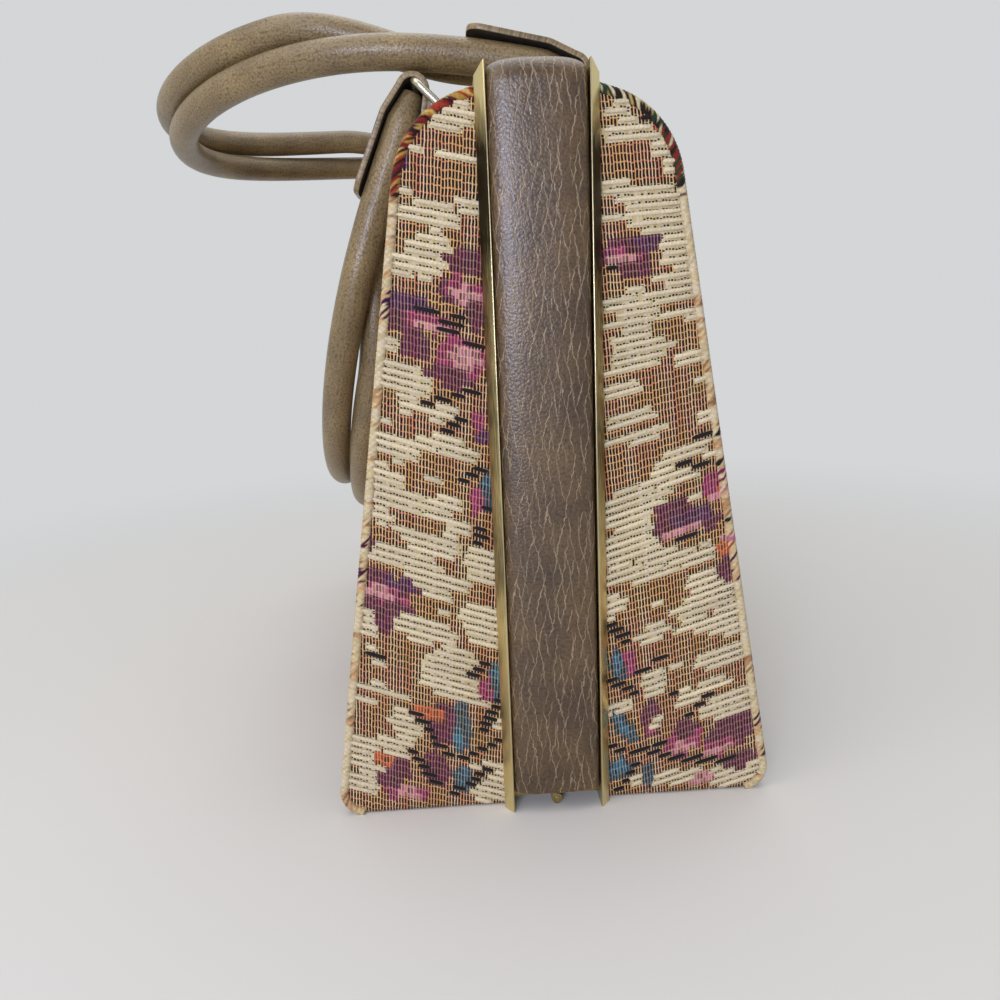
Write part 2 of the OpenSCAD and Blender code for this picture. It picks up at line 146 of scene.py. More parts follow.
def new_material(name: str, settings: dict) -> tuple[bpy.types.Material, bpy.types.Node]:
    """Make a material.

    Args:
        name: Name of the material.
        settings: What is the same all over the surface, by the names of the shader's sockets.

    Returns:
        The material and its shader.
    """
    material = bpy.data.materials.new(name)
    material.use_nodes = True
    shader = material.node_tree.nodes["Principled BSDF"]
    feed(shader, settings)
    return material, shader


def mesh_piece(
    name: str, points: np.ndarray, faces: Sequence, material: bpy.types.Material
) -> bpy.types.Object:
    """Make a mesh object at the origin.

    Args:
        name: Name of the piece.
        points: Vertex places in millimetres.
        faces: Vertex numbers of each face.
        material: Finish of the whole piece.

    Returns:
        The new object, linked to the scene.
    """
    mesh = bpy.data.meshes.new(name)
    mesh.from_pydata((np.asarray(points, float) * MM).tolist(), [], [tuple(map(int, f)) for f in faces])
    mesh.materials.append(material)
    mesh.polygons.foreach_set("use_smooth", np.ones(len(mesh.polygons), bool))
    mesh.update()
    piece = bpy.data.objects.new(name, mesh)
    bpy.context.scene.collection.objects.link(piece)
    return piece


def set_uv(piece: bpy.types.Object, uv: np.ndarray, name: str) -> None:
    """Give a mesh a UV map from one coordinate pair for each vertex.

    Args:
        piece: Mesh object.
        uv: Coordinates, one row for each vertex.
        name: Name of the map.
    """
    mesh = piece.data
    corners = np.zeros(len(mesh.loops), np.int32)
    mesh.loops.foreach_get("vertex_index", corners)
    layer = mesh.uv_layers.new(name=name)
    layer.data.foreach_set("uv", np.asarray(uv, np.float32)[corners].ravel())


def set_colours(piece: bpy.types.Object, name: str, colours: np.ndarray) -> None:
    """Give a mesh a colour for each vertex.

    Args:
        piece: Mesh object.
        name: Name of the attribute.
        colours: Linear colours with alpha, one row for each vertex.
    """
    layer = piece.data.attributes.new(name, "FLOAT_COLOR", "POINT")
    layer.data.foreach_set("color", np.asarray(colours, np.float32).ravel())


def seat(piece: bpy.types.Object, body: str, node: str | None = None) -> None:
    """Put a finished piece on its body.

    Args:
        piece: Mesh object.
        body: Body that it rides on.
        node: CAD node that it stands for, if any.
    """
    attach(piece, body)
    if node:
        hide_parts(node)
    LOG.info("%s: %d faces", piece.name, len(piece.data.polygons))


def bake_modifiers(piece: bpy.types.Object) -> bpy.types.Object:
    """Turn an object's modifiers into plain mesh.

    Args:
        piece: Mesh object with modifiers.

    Returns:
        A mesh object of the same name without modifiers.
    """
    graph = bpy.context.evaluated_depsgraph_get()
    mesh = bpy.data.meshes.new_from_object(piece.evaluated_get(graph), depsgraph=graph)
    name = piece.name
    bpy.data.objects.remove(piece)
    made = bpy.data.objects.new(name, mesh)
    bpy.context.scene.collection.objects.link(made)
    return made


def grid_faces(rows: int, columns: int) -> list[tuple[int, int, int, int]]:
    """Join points that are numbered row by row into four-sided faces.

    Args:
        rows: How many rows of points there are.
        columns: How many points a row has.

    Returns:
        Point numbers of each face, row by row.
    """
    corners = np.arange(rows * columns).reshape(rows, columns)
    ring = (corners[:-1, :-1], corners[:-1, 1:], corners[1:, 1:], corners[1:, :-1])
    return [tuple(face) for face in np.stack(ring, -1).reshape(-1, 4).tolist()]


def sweep(path: np.ndarray, sides: np.ndarray, ups: np.ndarray, section: np.ndarray, capped: bool) -> tuple:
    """Carry an open section along a path.

    Args:
        path: Points of the path.
        sides: Unit vector at each point for the section's first axis.
        ups: Unit vector at each point for the section's second axis.
        section: Section points, either one list or one list for each path point.
        capped: Whether the section's last point repeats its first, so that the ends get caps.

    Returns:
        Vertices and faces.
    """
    n = len(path)
    shapes = section if section.ndim == 3 else np.repeat(section[None], n, axis=0)
    m = shapes.shape[1]
    points = path[:, None] + shapes[..., :1] * sides[:, None] + shapes[..., 1:2] * ups[:, None]
    faces = grid_faces(n, m)
    if capped:
        faces += [tuple(range(m - 2, -1, -1)), tuple((n - 1) * m + k for k in range(m - 1))]
    return points.reshape(-1, 3), faces


def outward(piece: bpy.types.Object) -> None:
    """Merge doubled vertices and point all faces of a closed mesh outwards."""
    mesh = bmesh.new()
    mesh.from_mesh(piece.data)
    bmesh.ops.remove_doubles(mesh, verts=mesh.verts, dist=MERGE_REACH * MM)
    bmesh.ops.recalc_face_normals(mesh, faces=mesh.faces)
    mesh.to_mesh(piece.data)
    mesh.free()


def unit(vectors: np.ndarray) -> np.ndarray:
    """Scale each row to length 1."""
    return vectors / np.linalg.norm(vectors, axis=-1, keepdims=True)


def smooth_step(t: np.ndarray) -> np.ndarray:
    """Rise smoothly from 0 to 1 as t does."""
    t = np.clip(t, 0, 1)
    return t * t * (3 - 2 * t)


def lengths_along(points: np.ndarray) -> np.ndarray:
    """Give the distance of each point from the first, along the line."""
    return np.concatenate([[0], np.cumsum(np.linalg.norm(np.diff(points, axis=0), axis=1))])


def resample(points: np.ndarray, step: float) -> np.ndarray:
    """Space points evenly along a line.

    Args:
        points: Corners of the line.
        step: Wanted distance, rounded so that both ends are kept.

    Returns:
        Evenly spaced points.
    """
    lengths = lengths_along(points)
    at = np.linspace(0, lengths[-1], max(2, round(lengths[-1] / step) + 1))
    return np.stack([np.interp(at, lengths, points[:, k]) for k in range(points.shape[1])], 1)


class Noise:
    """Smooth random field in the plane with a fixed seed."""

    def __init__(self, seed: int, size: int = 64) -> None:
        """Draw the values at the lattice points."""
        self.size = size
        self.values = np.random.default_rng(seed).random((size, size))

    def at(self, x: np.ndarray, y: np.ndarray) -> np.ndarray:
        """Read the field.

        Args:
            x: First coordinates, one lattice step for each unit.
            y: Second coordinates.

        Returns:
            Values from 0 to 1.
        """
        i, j = np.floor(x).astype(int), np.floor(y).astype(int)
        s, t = smooth_step(x - i), smooth_step(y - j)
        v = self.values
        n = self.size
        low = v[i % n, j % n] * (1 - s) + v[(i + 1) % n, j % n] * s
        high = v[i % n, (j + 1) % n] * (1 - s) + v[(i + 1) % n, (j + 1) % n] * s
        return low * (1 - t) + high * t


class Dye(Enum):
    """Colours of the weft: how each is written on screen, and how far it covers the warps."""

    DARK = ("#170d08", 0.0)
    BROWN = ("#241109", 0.0)
    MAROON = ("#3c1412", 0.05)
    OLIVE = ("#2b2510", 0.1)
    VIOLET = ("#340e40", 0.8)
    PLUM = ("#440c34", 0.8)
    ROSE = ("#761e4e", 0.7)
    PINK = ("#b87386", 0.4)
    RUST = ("#ab4528", 0.6)
    TEAL = ("#0b3d4a", 0.8)
    SKY = ("#14586a", 0.8)
    BLACK = ("#1e1917", 1.0)
    CREAM = ("#dccbaa", 1.0)

    @property
    def colour(self) -> tuple[float, float, float, float]:
        """Linear colour with the cover as its alpha."""
        return (*srgb(self.value[0])[:3], self.value[1])


DYES = list(Dye)
DARKS = [DYES.index(d) for d in (Dye.DARK, Dye.BROWN, Dye.DARK, Dye.MAROON, Dye.BROWN, Dye.OLIVE)]


@dataclass(frozen=True)
class Patch:
    """A tilted oval of one dye, in cloth millimetres: across away from the mouth, up against the rows."""

    dye: Dye
    across: float
    up: float
    wide: float
    high: float
    tilt: float = 0.0

    def depth(self, u: np.ndarray, v: np.ndarray) -> np.ndarray:
        """Tell how far in the oval cells lie: 1 in its middle, 0 on its edge and less outside."""
        c, s = math.cos(math.radians(self.tilt)), math.sin(math.radians(self.tilt))
        du, dv = u - self.across, v - self.up
        return 1 - np.hypot((du * c + dv * s) / self.wide, (dv * c - du * s) / self.high)


@dataclass(frozen=True)
class Stitches:
    """A staircase of short floats along a line in a motif."""

    start: tuple[float, float]
    end: tuple[float, float]
    run: float = 4.5
    dye: Dye = Dye.BLACK

    def covers(self, u: np.ndarray, v: np.ndarray, row: float) -> np.ndarray:
        """Tell which cells lie on the staircase."""
        (u0, v0), (u1, v1) = sorted((self.start, self.end), key=lambda p: p[1])
        rise = max(v1 - v0, 0.01)
        t = np.clip((v - v0) / rise, 0, 1)
        run = max(self.run, row * abs(u1 - u0) / max(rise, row))
        return (v > v0 - row / 2) & (v <= v1 + row / 2) & (abs(u - u0 - (u1 - u0) * t) < run / 2)


@dataclass(frozen=True)
class Motif:
    """Ovals of weft colour, later ones on top, and staircases of floats that make one flower or leaf."""

    patches: tuple[Patch, ...]
    stitches: tuple[Stitches, ...] = ()


FLOWER = Motif(
    (
        Patch(Dye.PLUM, -8, 19, 5.5, 4),
        Patch(Dye.PLUM, -4, 10, 3.5, 4),
        Patch(Dye.ROSE, -8, 10.5, 5, 4.2),
        Patch(Dye.PINK, -8, 9.5, 4, 2.6),
        Patch(Dye.PLUM, -11.5, 4.5, 3, 4),
        Patch(Dye.VIOLET, 9, 3, 7.5, 2.8),
        Patch(Dye.PLUM, 10, -2.5, 9, 3),
        Patch(Dye.PLUM, 6.5, -9, 4.2, 4.5),
        Patch(Dye.ROSE, 2, -1.5, 7.5, 2.4),
        Patch(Dye.PINK, 1.5, -1.5, 6, 1.3),
        Patch(Dye.ROSE, -7, -10, 7, 5),
        Patch(Dye.PINK, -8.5, -9, 5, 2.6),
        Patch(Dye.PLUM, -4, -16.5, 6.5, 2.8),
    ),
    (
        Stitches((-9, 2.4), (-6, 2.4), 5),
        Stitches((-4, 0.5), (3, 1.5), 7),
        Stitches((-12, -4.8), (-3, -2.4), 6),
        Stitches((-11, -19), (4, -27), 5.5),
        Stitches((-8, -28), (-4, -33), 4),
    ),
)
PANSY = Motif(
    (
        Patch(Dye.PLUM, -2, 2.5, 8.5, 3),
        Patch(Dye.VIOLET, -6, 3.5, 4.5, 2),
        Patch(Dye.PLUM, 0, -5, 8.5, 3),
        Patch(Dye.ROSE, 0, -1.8, 7, 2.4),
        Patch(Dye.PINK, 1.5, -1.5, 5.5, 1.5),
        Patch(Dye.PLUM, 6, 16, 3, 6.5),
        Patch(Dye.ROSE, 7, 13, 1.8, 3),
        Patch(Dye.PLUM, -1, -10.5, 3.2, 4),
        Patch(Dye.MAROON, -5, 8, 7, 3),
    ),
    (Stitches((3, 1.2), (9, 1.2), 6), Stitches((2, -24), (9, -22), 5), Stitches((5, 24), (7, 26), 4)),
)
LEAVES = Motif(
    (
        Patch(Dye.OLIVE, -8, 7.5, 6, 3.5),
        Patch(Dye.OLIVE, -1, 20, 2, 4.5),
        Patch(Dye.TEAL, -1, 9, 3, 9),
        Patch(Dye.SKY, 0, 6, 1.5, 5),
        Patch(Dye.PLUM, 5.5, 9, 4, 7),
        Patch(Dye.RUST, 10.5, 12.5, 4.5, 2.6),
        Patch(Dye.OLIVE, -6, -6, 3, 3),
        Patch(Dye.TEAL, -2, -9, 3, 5),
        Patch(Dye.SKY, -2, -8, 1.4, 3),
        Patch(Dye.PLUM, 7.5, -8, 4, 6),
    ),
    (
        Stitches((-14, 8.5), (-2, -1), 4),
        Stitches((15, 11.5), (3, -1), 4.5),
        Stitches((-10, -4), (1, -15), 4),
        Stitches((15, -3), (6, -14), 4.5),
    ),
)
POSY = Motif(
    (
        Patch(Dye.ROSE, -2, -5, 8, 3),
        Patch(Dye.PINK, -4, -5, 4, 1.5),
        Patch(Dye.PLUM, 3, -2, 4, 2.4),
        Patch(Dye.PLUM, 0, 3, 4, 4.5),
        Patch(Dye.RUST, 4.5, 5, 3, 2.6),
    )
)
SPRAY = Motif(
    (Patch(Dye.TEAL, 0, 2, 2.4, 6.5), Patch(Dye.SKY, 0.5, 5, 1.2, 3), Patch(Dye.ROSE, 3.5, -1, 2, 4)),
    (Stitches((3, 9), (8, 4), 4), Stitches((2, -10), (3, -16), 4), Stitches((-1, -4), (1, -9), 3.5)),
)
BLOOM = Motif(
    (
        Patch(Dye.PLUM, -5, 4, 5.5, 5.5),
        Patch(Dye.VIOLET, 1, 2.5, 6, 3),
        Patch(Dye.PLUM, 7, -1.5, 3, 2),
        Patch(Dye.PINK, -2, -0.4, 6, 1.3),
        Patch(Dye.ROSE, 11, 9.5, 5.5, 4.5),
        Patch(Dye.RUST, 14, 6.5, 3.5, 2.6),
        Patch(Dye.PINK, 10, 7, 3.5, 1.3),
        Patch(Dye.RUST, 13.5, -10.5, 4.5, 3.5),
        Patch(Dye.PINK, 12, -9, 3, 1.2),
        Patch(Dye.PLUM, 13, -18.5, 4, 4.5),
    ),
    (
        Stitches((-1, -3), (8, -3), 7),
        Stitches((-2, 22), (6, 18), 6),
        Stitches((9, 17), (16, 14), 5),
        Stitches((6, 28), (13, 25), 5),
        Stitches((12, -2), (16, -2), 5),
        Stitches((14, -9), (18, -9), 4),
    ),
)
VINE = Motif(
    (
        Patch(Dye.TEAL, -14.5, 11, 7, 2.4, -60),
        Patch(Dye.SKY, -14.5, 11, 4.5, 1, -60),
        Patch(Dye.PLUM, -5.5, 11, 3, 6.5),
        Patch(Dye.ROSE, -5, 9, 1.6, 4),
        Patch(Dye.TEAL, -17.5, -4, 4.5, 4),
        Patch(Dye.SKY, -18, -3, 2.5, 2),
        Patch(Dye.TEAL, -8, -9, 2, 4.5),
        Patch(Dye.ROSE, 5, -0.5, 6, 5),
        Patch(Dye.PLUM, 6.5, 3.5, 4, 2.6),
        Patch(Dye.PINK, 4, -3.5, 4.5, 2),
        Patch(Dye.PLUM, 22, -4, 8, 5.5),
        Patch(Dye.ROSE, 17, -8, 6, 2.4),
        Patch(Dye.PINK, 16, -8.8, 5, 1.3),
        Patch(Dye.PLUM, 24, -15, 5.5, 3),
        Patch(Dye.PINK, 10, -17.5, 4, 2),
    ),
    (
        Stitches((-10, 2), (-2, -4), 5),
        Stitches((-2, -4), (8, -9), 7),
        Stitches((8, -9), (19, -13), 8),
        Stitches((-19, 5), (-10, 0), 4),
        Stitches((-11, -3), (-18, -10), 4),
        Stitches((-6.5, 3), (-0.5, 17), 3.2, Dye.CREAM),
        Stitches((-3, 2), (3, 17), 3.2),
        Stitches((7, 8), (14, 12), 4),
    ),
)
BUD = Motif(
    (
        Patch(Dye.PLUM, 0, 1.5, 8, 3.5),
        Patch(Dye.VIOLET, 5, 3.5, 4, 2),
        Patch(Dye.PLUM, 1, -4, 5, 2.6),
        Patch(Dye.ROSE, -2, 0, 5, 2),
        Patch(Dye.PINK, -2.5, -0.3, 4, 1.2),
    ),
    (Stitches((-7, -3.5), (-5, -3.5), 4),),
)
SPRIG = Motif(
    (Patch(Dye.TEAL, -0.5, -1, 2.5, 5), Patch(Dye.SKY, -0.5, 0, 1.2, 3), Patch(Dye.ROSE, 3.2, -1, 1.6, 4.5)),
    (
        Stitches((-1, 14), (2, 6), 4),
        Stitches((2, 10), (4, 4), 3),
        Stitches((-3, -6), (4, -12), 4.5),
        Stitches((7, -5), (13, -3), 4),
    ),
)
CORNER = Motif((Patch(Dye.RUST, 0, 0, 3, 2),), (Stitches((-6, 2), (-2, 0), 4), Stitches((2, -3), (5, -4), 4)))


@dataclass(frozen=True)
class Placing:
    """One motif at a place on the cloth."""

    motif: Motif
    across: float
    up: float
    mirrored: bool = False

    def local(self, u: np.ndarray, v: np.ndarray) -> tuple[np.ndarray, np.ndarray]:
        """Turn cloth coordinates into the motif's own."""
        return (-1 if self.mirrored else 1) * (u - self.across), v - self.up


@dataclass(frozen=True)
class PanelPlan:
    """What is woven into an end panel: motifs, and ovals of cream floats as across, up, wide and high."""

    placings: tuple[Placing, ...]
    cream: tuple[tuple[float, float, float, float], ...]


PLANS = {
    FRONT: PanelPlan(
        (
            Placing(FLOWER, 44, 157),
            Placing(PANSY, 60, 66),
            Placing(LEAVES, 34, 14),
            Placing(POSY, 54, 0),
            Placing(SPRAY, 27, 105),
            Placing(SPRAY, 22, 41),
            Placing(Motif((Patch(Dye.VIOLET, 0, 0, 3, 3), Patch(Dye.ROSE, 2, 4, 2, 3))), 29, 125),
            Placing(Motif((Patch(Dye.VIOLET, 0, 0, 2, 3.5), Patch(Dye.VIOLET, 3, -21, 1.2, 3.5))), 55, 202),
        ),
        (
            (43, 217, 9, 4.5), (40, 205, 6, 2), (36, 192, 4, 2.4), (47, 188, 8, 3.6), (46, 177, 7, 5.5),
            (55, 172, 8, 3.2), (59, 182, 3, 4), (61, 148, 5, 6), (55, 137, 10, 4.6), (45, 147, 5, 2.4),
            (46, 129, 10, 2.8), (41, 118, 10, 3.2), (58, 113, 9, 3.8), (62, 122, 5, 2), (53, 97, 13, 3.6),
            (61, 103, 8, 2), (44, 85, 9, 3.4), (55, 78, 13, 3.4), (28, 84, 6, 7), (41, 75, 10, 2.8),
            (45, 69, 8, 2.4), (27, 63, 7, 7), (47, 56, 11, 4.4), (63, 53, 8, 3.6), (35, 46, 11, 5.5),
            (34, 37, 12, 3), (66, 43, 6, 2.2), (58, 30, 8, 2.2), (67, 25, 6, 2), (22, 5, 9, 9),
            (51, 20, 5, 5.5), (55, 11, 7, 3.4), (67, 5, 9, 7), (68, -6, 8, 4.6), (24, 29, 5, 2.4),
            (39, 101, 5, 2), (36, 94, 4, 2), (53, 206, 3, 2), (60, 90, 4, 3),
        ),
    ),
    BACK: PanelPlan(
        (
            Placing(BUD, 40, 177),
            Placing(BLOOM, 52, 86),
            Placing(SPRIG, 26, 47),
            Placing(VINE, 40, 12),
            Placing(CORNER, 52, 214),
        ),
        (
            (45, 212, 9, 3), (56, 206, 6, 5), (45, 218, 7, 2.4), (37, 197, 4, 2), (47, 194, 9, 2),
            (51, 189, 10, 3.8), (36, 188, 4, 1.4), (54, 183, 8, 2.4), (56, 177, 7, 5), (56, 168, 7, 4.6),
            (46, 164, 14, 2.8), (41, 157.5, 11, 2.6), (57, 156, 4.5, 1.6), (37, 152, 5, 2), (42, 147.5, 9, 4),
            (38, 143, 8, 1.8), (57, 142, 6, 2.6), (34, 137, 6, 2), (62, 133, 4, 2), (64, 128, 4, 2),
            (36, 127, 8, 2.8), (38, 121, 10, 2.2), (62, 120, 5, 2.2), (60, 113, 5, 2.2), (51, 109, 8, 2.8),
            (47, 103, 9, 3), (35, 99, 10, 6), (33, 90, 8, 2.4), (35, 85, 10, 5.4), (37, 77, 13, 3.6),
            (51, 75, 11, 3.4), (24, 68, 5, 4), (59, 65, 8, 5), (56, 58, 12, 3.6), (63, 51, 9, 4),
            (38, 54, 6, 3), (50, 52, 6, 2.4), (62, 38, 11, 3.4), (37, 36, 4, 4.6), (24, 31, 5, 2.4),
            (47, 27, 5, 3.2), (57, 29, 5, 2.4), (62, 19, 10, 5), (70, 10, 5, 5), (52, 9, 3.4, 3),
            (64, -7, 10, 5), (45, -3, 6, 2), (38, 0, 5, 2), (29, 2, 3, 2.4), (66, 44, 6, 2),
        ),
    ),
}

WELT_ENDS = {
    FRONT: ("#7d1f1c", "#b08a3c", "#2a1410", "#9c3a22", "#c4a75a", "#5a1a20"),
    BACK: ("#2c3a24", "#c2b88e", "#241812", "#7d2a1e", "#d2c59c", "#1d1510", "#b59a58"),
}


@dataclass
class Weave:
    """The tapestry's threads: how far apart they lie and which dye shows where.

    Each grain is how far, across and up the cloth, a change by chance reaches. Each start picks another
    stretch of the noise, and each rate is how many of its steps a row takes.
    """

    warp: float = 1.0
    row: float = 2.4
    float_thick: float = 1.38
    longest: float = 24.0
    shortest: float = 4.0
    shade_grain: tuple[float, float] = (6.0, 4.8)
    shade_start: float = 9.0
    ragged: float = 0.5
    ragged_grain: float = 2.6
    ragged_rate: float = 1.37
    cream_ragged: float = 1.1
    growth: float = 0.12
    cream_share: float = 0.5
    cream_slant: float = 0.3
    broad_share: float = 0.6
    broad_grain: tuple[float, float] = (17.0, 9.0)
    broad_start: float = 3.0
    fine_grain: tuple[float, float] = (9.0, 5.0)
    stray_level: float = 0.8
    stray_grain: float = 3.1
    stray_start: float = 40.0
    stray_rate: float = 2.3
    seed: int = 41
    broad: Noise = field(default_factory=lambda: Noise(7))
    fine: Noise = field(default_factory=lambda: Noise(11))

    def dyes(
        self,
        u: np.ndarray,
        v: np.ndarray,
        placings: Iterable[Placing],
        cream: Sequence[tuple[float, float, float, float]] = (),
    ) -> tuple[np.ndarray, np.ndarray]:
        """Decide the weft of each cell.

        Args:
            u: Places of the cells across the cloth.
            v: Places of the cells up the cloth.
            placings: Motifs on this panel.
            cream: Ovals of cream floats. Without any, they fall at random over a share of the cloth.

        Returns:
            Number of the dye that shows between the warps, and number of the dye of a float over them or -1.
        """
        across, up = self.shade_grain
        shade = len(DARKS) * self.fine.at(u / across + self.shade_start, v / up)
        weft = np.array(DARKS)[np.minimum(shade.astype(int), len(DARKS) - 1)]
        floats = np.full(u.shape, -1)
        ragged = self.ragged * (self.fine.at(u / self.ragged_grain, v / self.row * self.ragged_rate) - 0.5)
        for placing in placings:
            for patch in placing.motif.patches:
                weft[patch.depth(*placing.local(u, v)) > ragged - self.growth] = DYES.index(patch.dye)
        near = ~np.isin(weft, DARKS)
        if cream:
            deepest = np.max([Patch(Dye.CREAM, *oval).depth(u, v) for oval in cream], axis=0)
            pale = deepest > self.cream_ragged * ragged - self.growth
        else:
            level = self.cream_level(u, v + self.cream_slant * u)
            pale = level > np.quantile(level, 1 - self.cream_share)
        stray = self.fine.at(u / self.stray_grain + self.stray_start, v / self.row * self.stray_rate)
        floats[(pale | (stray > self.stray_level)) & ~near] = DYES.index(Dye.CREAM)
        for placing in placings:
            for line in placing.motif.stitches:
                floats[line.covers(*placing.local(u, v), self.row)] = DYES.index(line.dye)
        return weft, floats

    def cream_level(self, u: np.ndarray, rise: np.ndarray) -> np.ndarray:
        """Tell how likely cells are to carry cream floats where no ovals are given."""
        (across, up), (fine_across, fine_up) = self.broad_grain, self.fine_grain
        broad = self.broad.at(u / across + self.broad_start, rise / up)
        fine = self.fine.at(u / fine_across, rise / fine_up)
        return self.broad_share * broad + (1 - self.broad_share) * fine


@dataclass(frozen=True)
class HalfProfile:
    """Outline of one half across the bag: depth from the middle plane against height."""

    mouth: float
    rim: float
    shoulder: tuple[float, float] = (13.98, 196.33)
    shoulder_radius: float = 28.0
    top_angle: float = 73.3
    side_angle: float = 8.94
    base_corner: tuple[float, float] = (63.84, 8.0)
    base_radius: float = 8.0
    shoulder_points: int = 60
    base_points: int = 40

    def outline(self, inset: float, step: float = 0.25) -> np.ndarray:
        """Trace the outline from the mouth at the top over the shoulder to the mouth at the base.

        Args:
            inset: How far inside the true outline.
            step: Distance between points.

        Returns:
            Points of depth and height.
        """
        arc = np.radians(np.linspace(self.top_angle, self.side_angle, self.shoulder_points))
        turn = np.radians(np.linspace(self.side_angle, -90, self.base_points))
        shoulder = self.shoulder + (self.shoulder_radius - inset) * np.stack([np.cos(arc), np.sin(arc)], 1)
        base = self.base_corner + (self.base_radius - inset) * np.stack([np.cos(turn), np.sin(turn)], 1)
        slope = math.tan(math.radians(90 - self.top_angle))
        first = [self.mouth, shoulder[0][1] + (shoulder[0][0] - self.mouth) * slope]
        return resample(np.concatenate([[first], shoulder, base, [[self.mouth, inset]]]), step)

    def edge(self, height: np.ndarray) -> np.ndarray:
        """Give the depth of the slanted side at a height."""
        slant = math.tan(math.radians(self.side_angle))
        foot = self.base_corner[0] + self.base_radius / math.cos(math.radians(self.side_angle))
        return foot - (height - self.base_corner[1]) * slant


@dataclass(frozen=True)
class Lattice:
    """Nodes that place a point among the threads: chances by warp and by cell, distances and cover."""

    jitter: bpy.types.Node
    chance: bpy.types.Node
    off_warp: bpy.types.Node
    off_row: bpy.types.Node
    warp: bpy.types.Node
    bar: bpy.types.Node


@dataclass(frozen=True)
class TapestryGround:
    """Woven jacquard ground: thin shiny warps over dark gaps, which gives fine upright lines with dark slots.

    Under cream floats the ground is cream too, and only rows of small holes show between the floats; their
    dark colour is painted shade. Distances from a thread and their soft edges are shares of the spacing of
    the warps or the rows.
    """

    weave: Weave
    warp_share: float = 0.35
    warp_blur: float = 0.08
    wobble: float = 0.5
    wobble_scale: float = 0.4
    row_wave: float = 0.35
    row_jitter: float = 0.26
    slot_share: float = 0.84
    slot_light: tuple[float, float] = (0.15, 1.2)
    bar_blur: float = 0.04
    bar_light: float = 1.7
    cover_edge: tuple[float, float] = (-0.02, 0.1)
    soak: float = 0.72
    soak_light: float = 3.0
    soak_limit: tuple[float, float, float] = (0.6, 0.42, 0.46)
    burial: float = 0.4
    cloud_scale: float = 0.07
    gilt: str = "#dcb25c"
    gilt_clouds: tuple[float, float] = (0.5, 0.66)
    gilt_share: float = 0.55
    # Dark colour of the holes between the picks: painted shade.
    painted_hole_shade: str = "#1e1409"
    hole_across: tuple[float, float] = (0.12, 0.22)
    hole_up: tuple[float, float] = (0.31, 0.24)
    pick_edge: tuple[float, float] = (0.03, 0.07)
    closed_share: float = 0.15
    relief: float = 0.35
    warps: tuple[tuple[float, str], ...] = (
        (0.0, "#eccf9c"), (0.25, "#d0935a"), (0.45, "#f0d9ae"),
        (0.65, "#da986c"), (0.8, "#ce8870"), (1.0, "#e2b874"),
    )
    crosses: tuple[tuple[float, str], ...] = (
        (0.36, "#a84c40"), (0.46, "#c27a50"), (0.56, "#c99a58"), (0.66, "#b8605c"),
    )
    creams: tuple[tuple[float, str], ...] = ((0.0, "#d8cba6"), (0.6, "#c6b480"), (1.0, "#dcc9b2"))

    def build(self) -> bpy.types.Material:
        """Make the material. The cloth map is in millimetres, the weft attribute is the dye of each cell."""
        material, shader = new_material(
            "tapestry_ground", {"Roughness": 0.8, "Sheen Weight": 0.1, "Specular IOR Level": 0.25}
        )
        tree = material.node_tree
        uv = add_node(tree, "ShaderNodeUVMap", uv_map="cloth")
        cream = add_node(tree, "ShaderNodeAttribute", attribute_name="cream").outputs["Fac"]
        lattice = self.lattice(tree, uv)
        ground, height = self.ground(tree, uv, lattice)
        holed = self.cream_ground(tree, lattice)
        colour = add_node(tree, "ShaderNodeMix", {0: cream, 6: ground, 7: holed}, data_type="RGBA")
        bump = add_node(
            tree, "ShaderNodeBump", {"Strength": 0.7, "Distance": self.relief * MM, "Height": height}
        )
        feed(shader, {"Base Color": colour.outputs[2], "Normal": bump})
        return material

    def lattice(self, tree: bpy.types.NodeTree, uv: bpy.types.Node) -> Lattice:
        """Work out the threads: warps that wander, and rows that wave from warp to warp.

        Args:
            tree: The material's node tree.
            uv: The cloth map.

        Returns:
            The nodes that tell where a point lies.
        """
        place = add_node(tree, "ShaderNodeSeparateXYZ", {0: uv})
        drift = add_node(
            tree, "ShaderNodeTexNoise", {"Vector": uv, "Scale": self.wobble_scale, "Detail": 2.0}
        )
        swing = add_node(
            tree, "ShaderNodeMath", {0: drift, 1: self.wobble, 2: place}, operation="MULTIPLY_ADD"
        )
        thread = add_node(tree, "ShaderNodeMath", {0: swing, 1: self.weave.warp}, operation="DIVIDE")
        number = add_node(tree, "ShaderNodeMath", {0: thread}, operation="FLOOR")
        jitter = add_node(tree, "ShaderNodeTexWhiteNoise", {"W": number}, noise_dimensions="1D")
        lift = add_node(tree, "ShaderNodeMath", {0: place.outputs[1], 1: self.weave.row}, operation="DIVIDE")
        wave = add_node(
            tree, "ShaderNodeMath", {0: drift, 1: self.row_wave, 2: lift}, operation="MULTIPLY_ADD"
        )
        row = add_node(
            tree, "ShaderNodeMath", {0: jitter, 1: self.row_jitter, 2: wave}, operation="MULTIPLY_ADD"
        )
        level = add_node(tree, "ShaderNodeMath", {0: row}, operation="FLOOR")
        cell = add_node(tree, "ShaderNodeCombineXYZ", {0: number, 1: level})
        off_warp, off_row = (
            add_node(tree, "ShaderNodeMath", {0: count, 1: 0.5}, operation="PINGPONG")
            for count in (thread, row)
        )
        warp, bar = (
            add_node(
                tree, "ShaderNodeMapRange", {0: off, 1: half + blur, 2: half - blur},
                interpolation_type="SMOOTHSTEP",
            )
            for off, half, blur in (
                (off_warp, self.warp_share / 2, self.warp_blur),
                (off_row, 0.5 - self.slot_share / 2, self.bar_blur),
            )
        )
        chance = add_node(tree, "ShaderNodeTexWhiteNoise", {"Vector": cell}, noise_dimensions="2D")
        return Lattice(jitter, chance, off_warp, off_row, warp, bar)

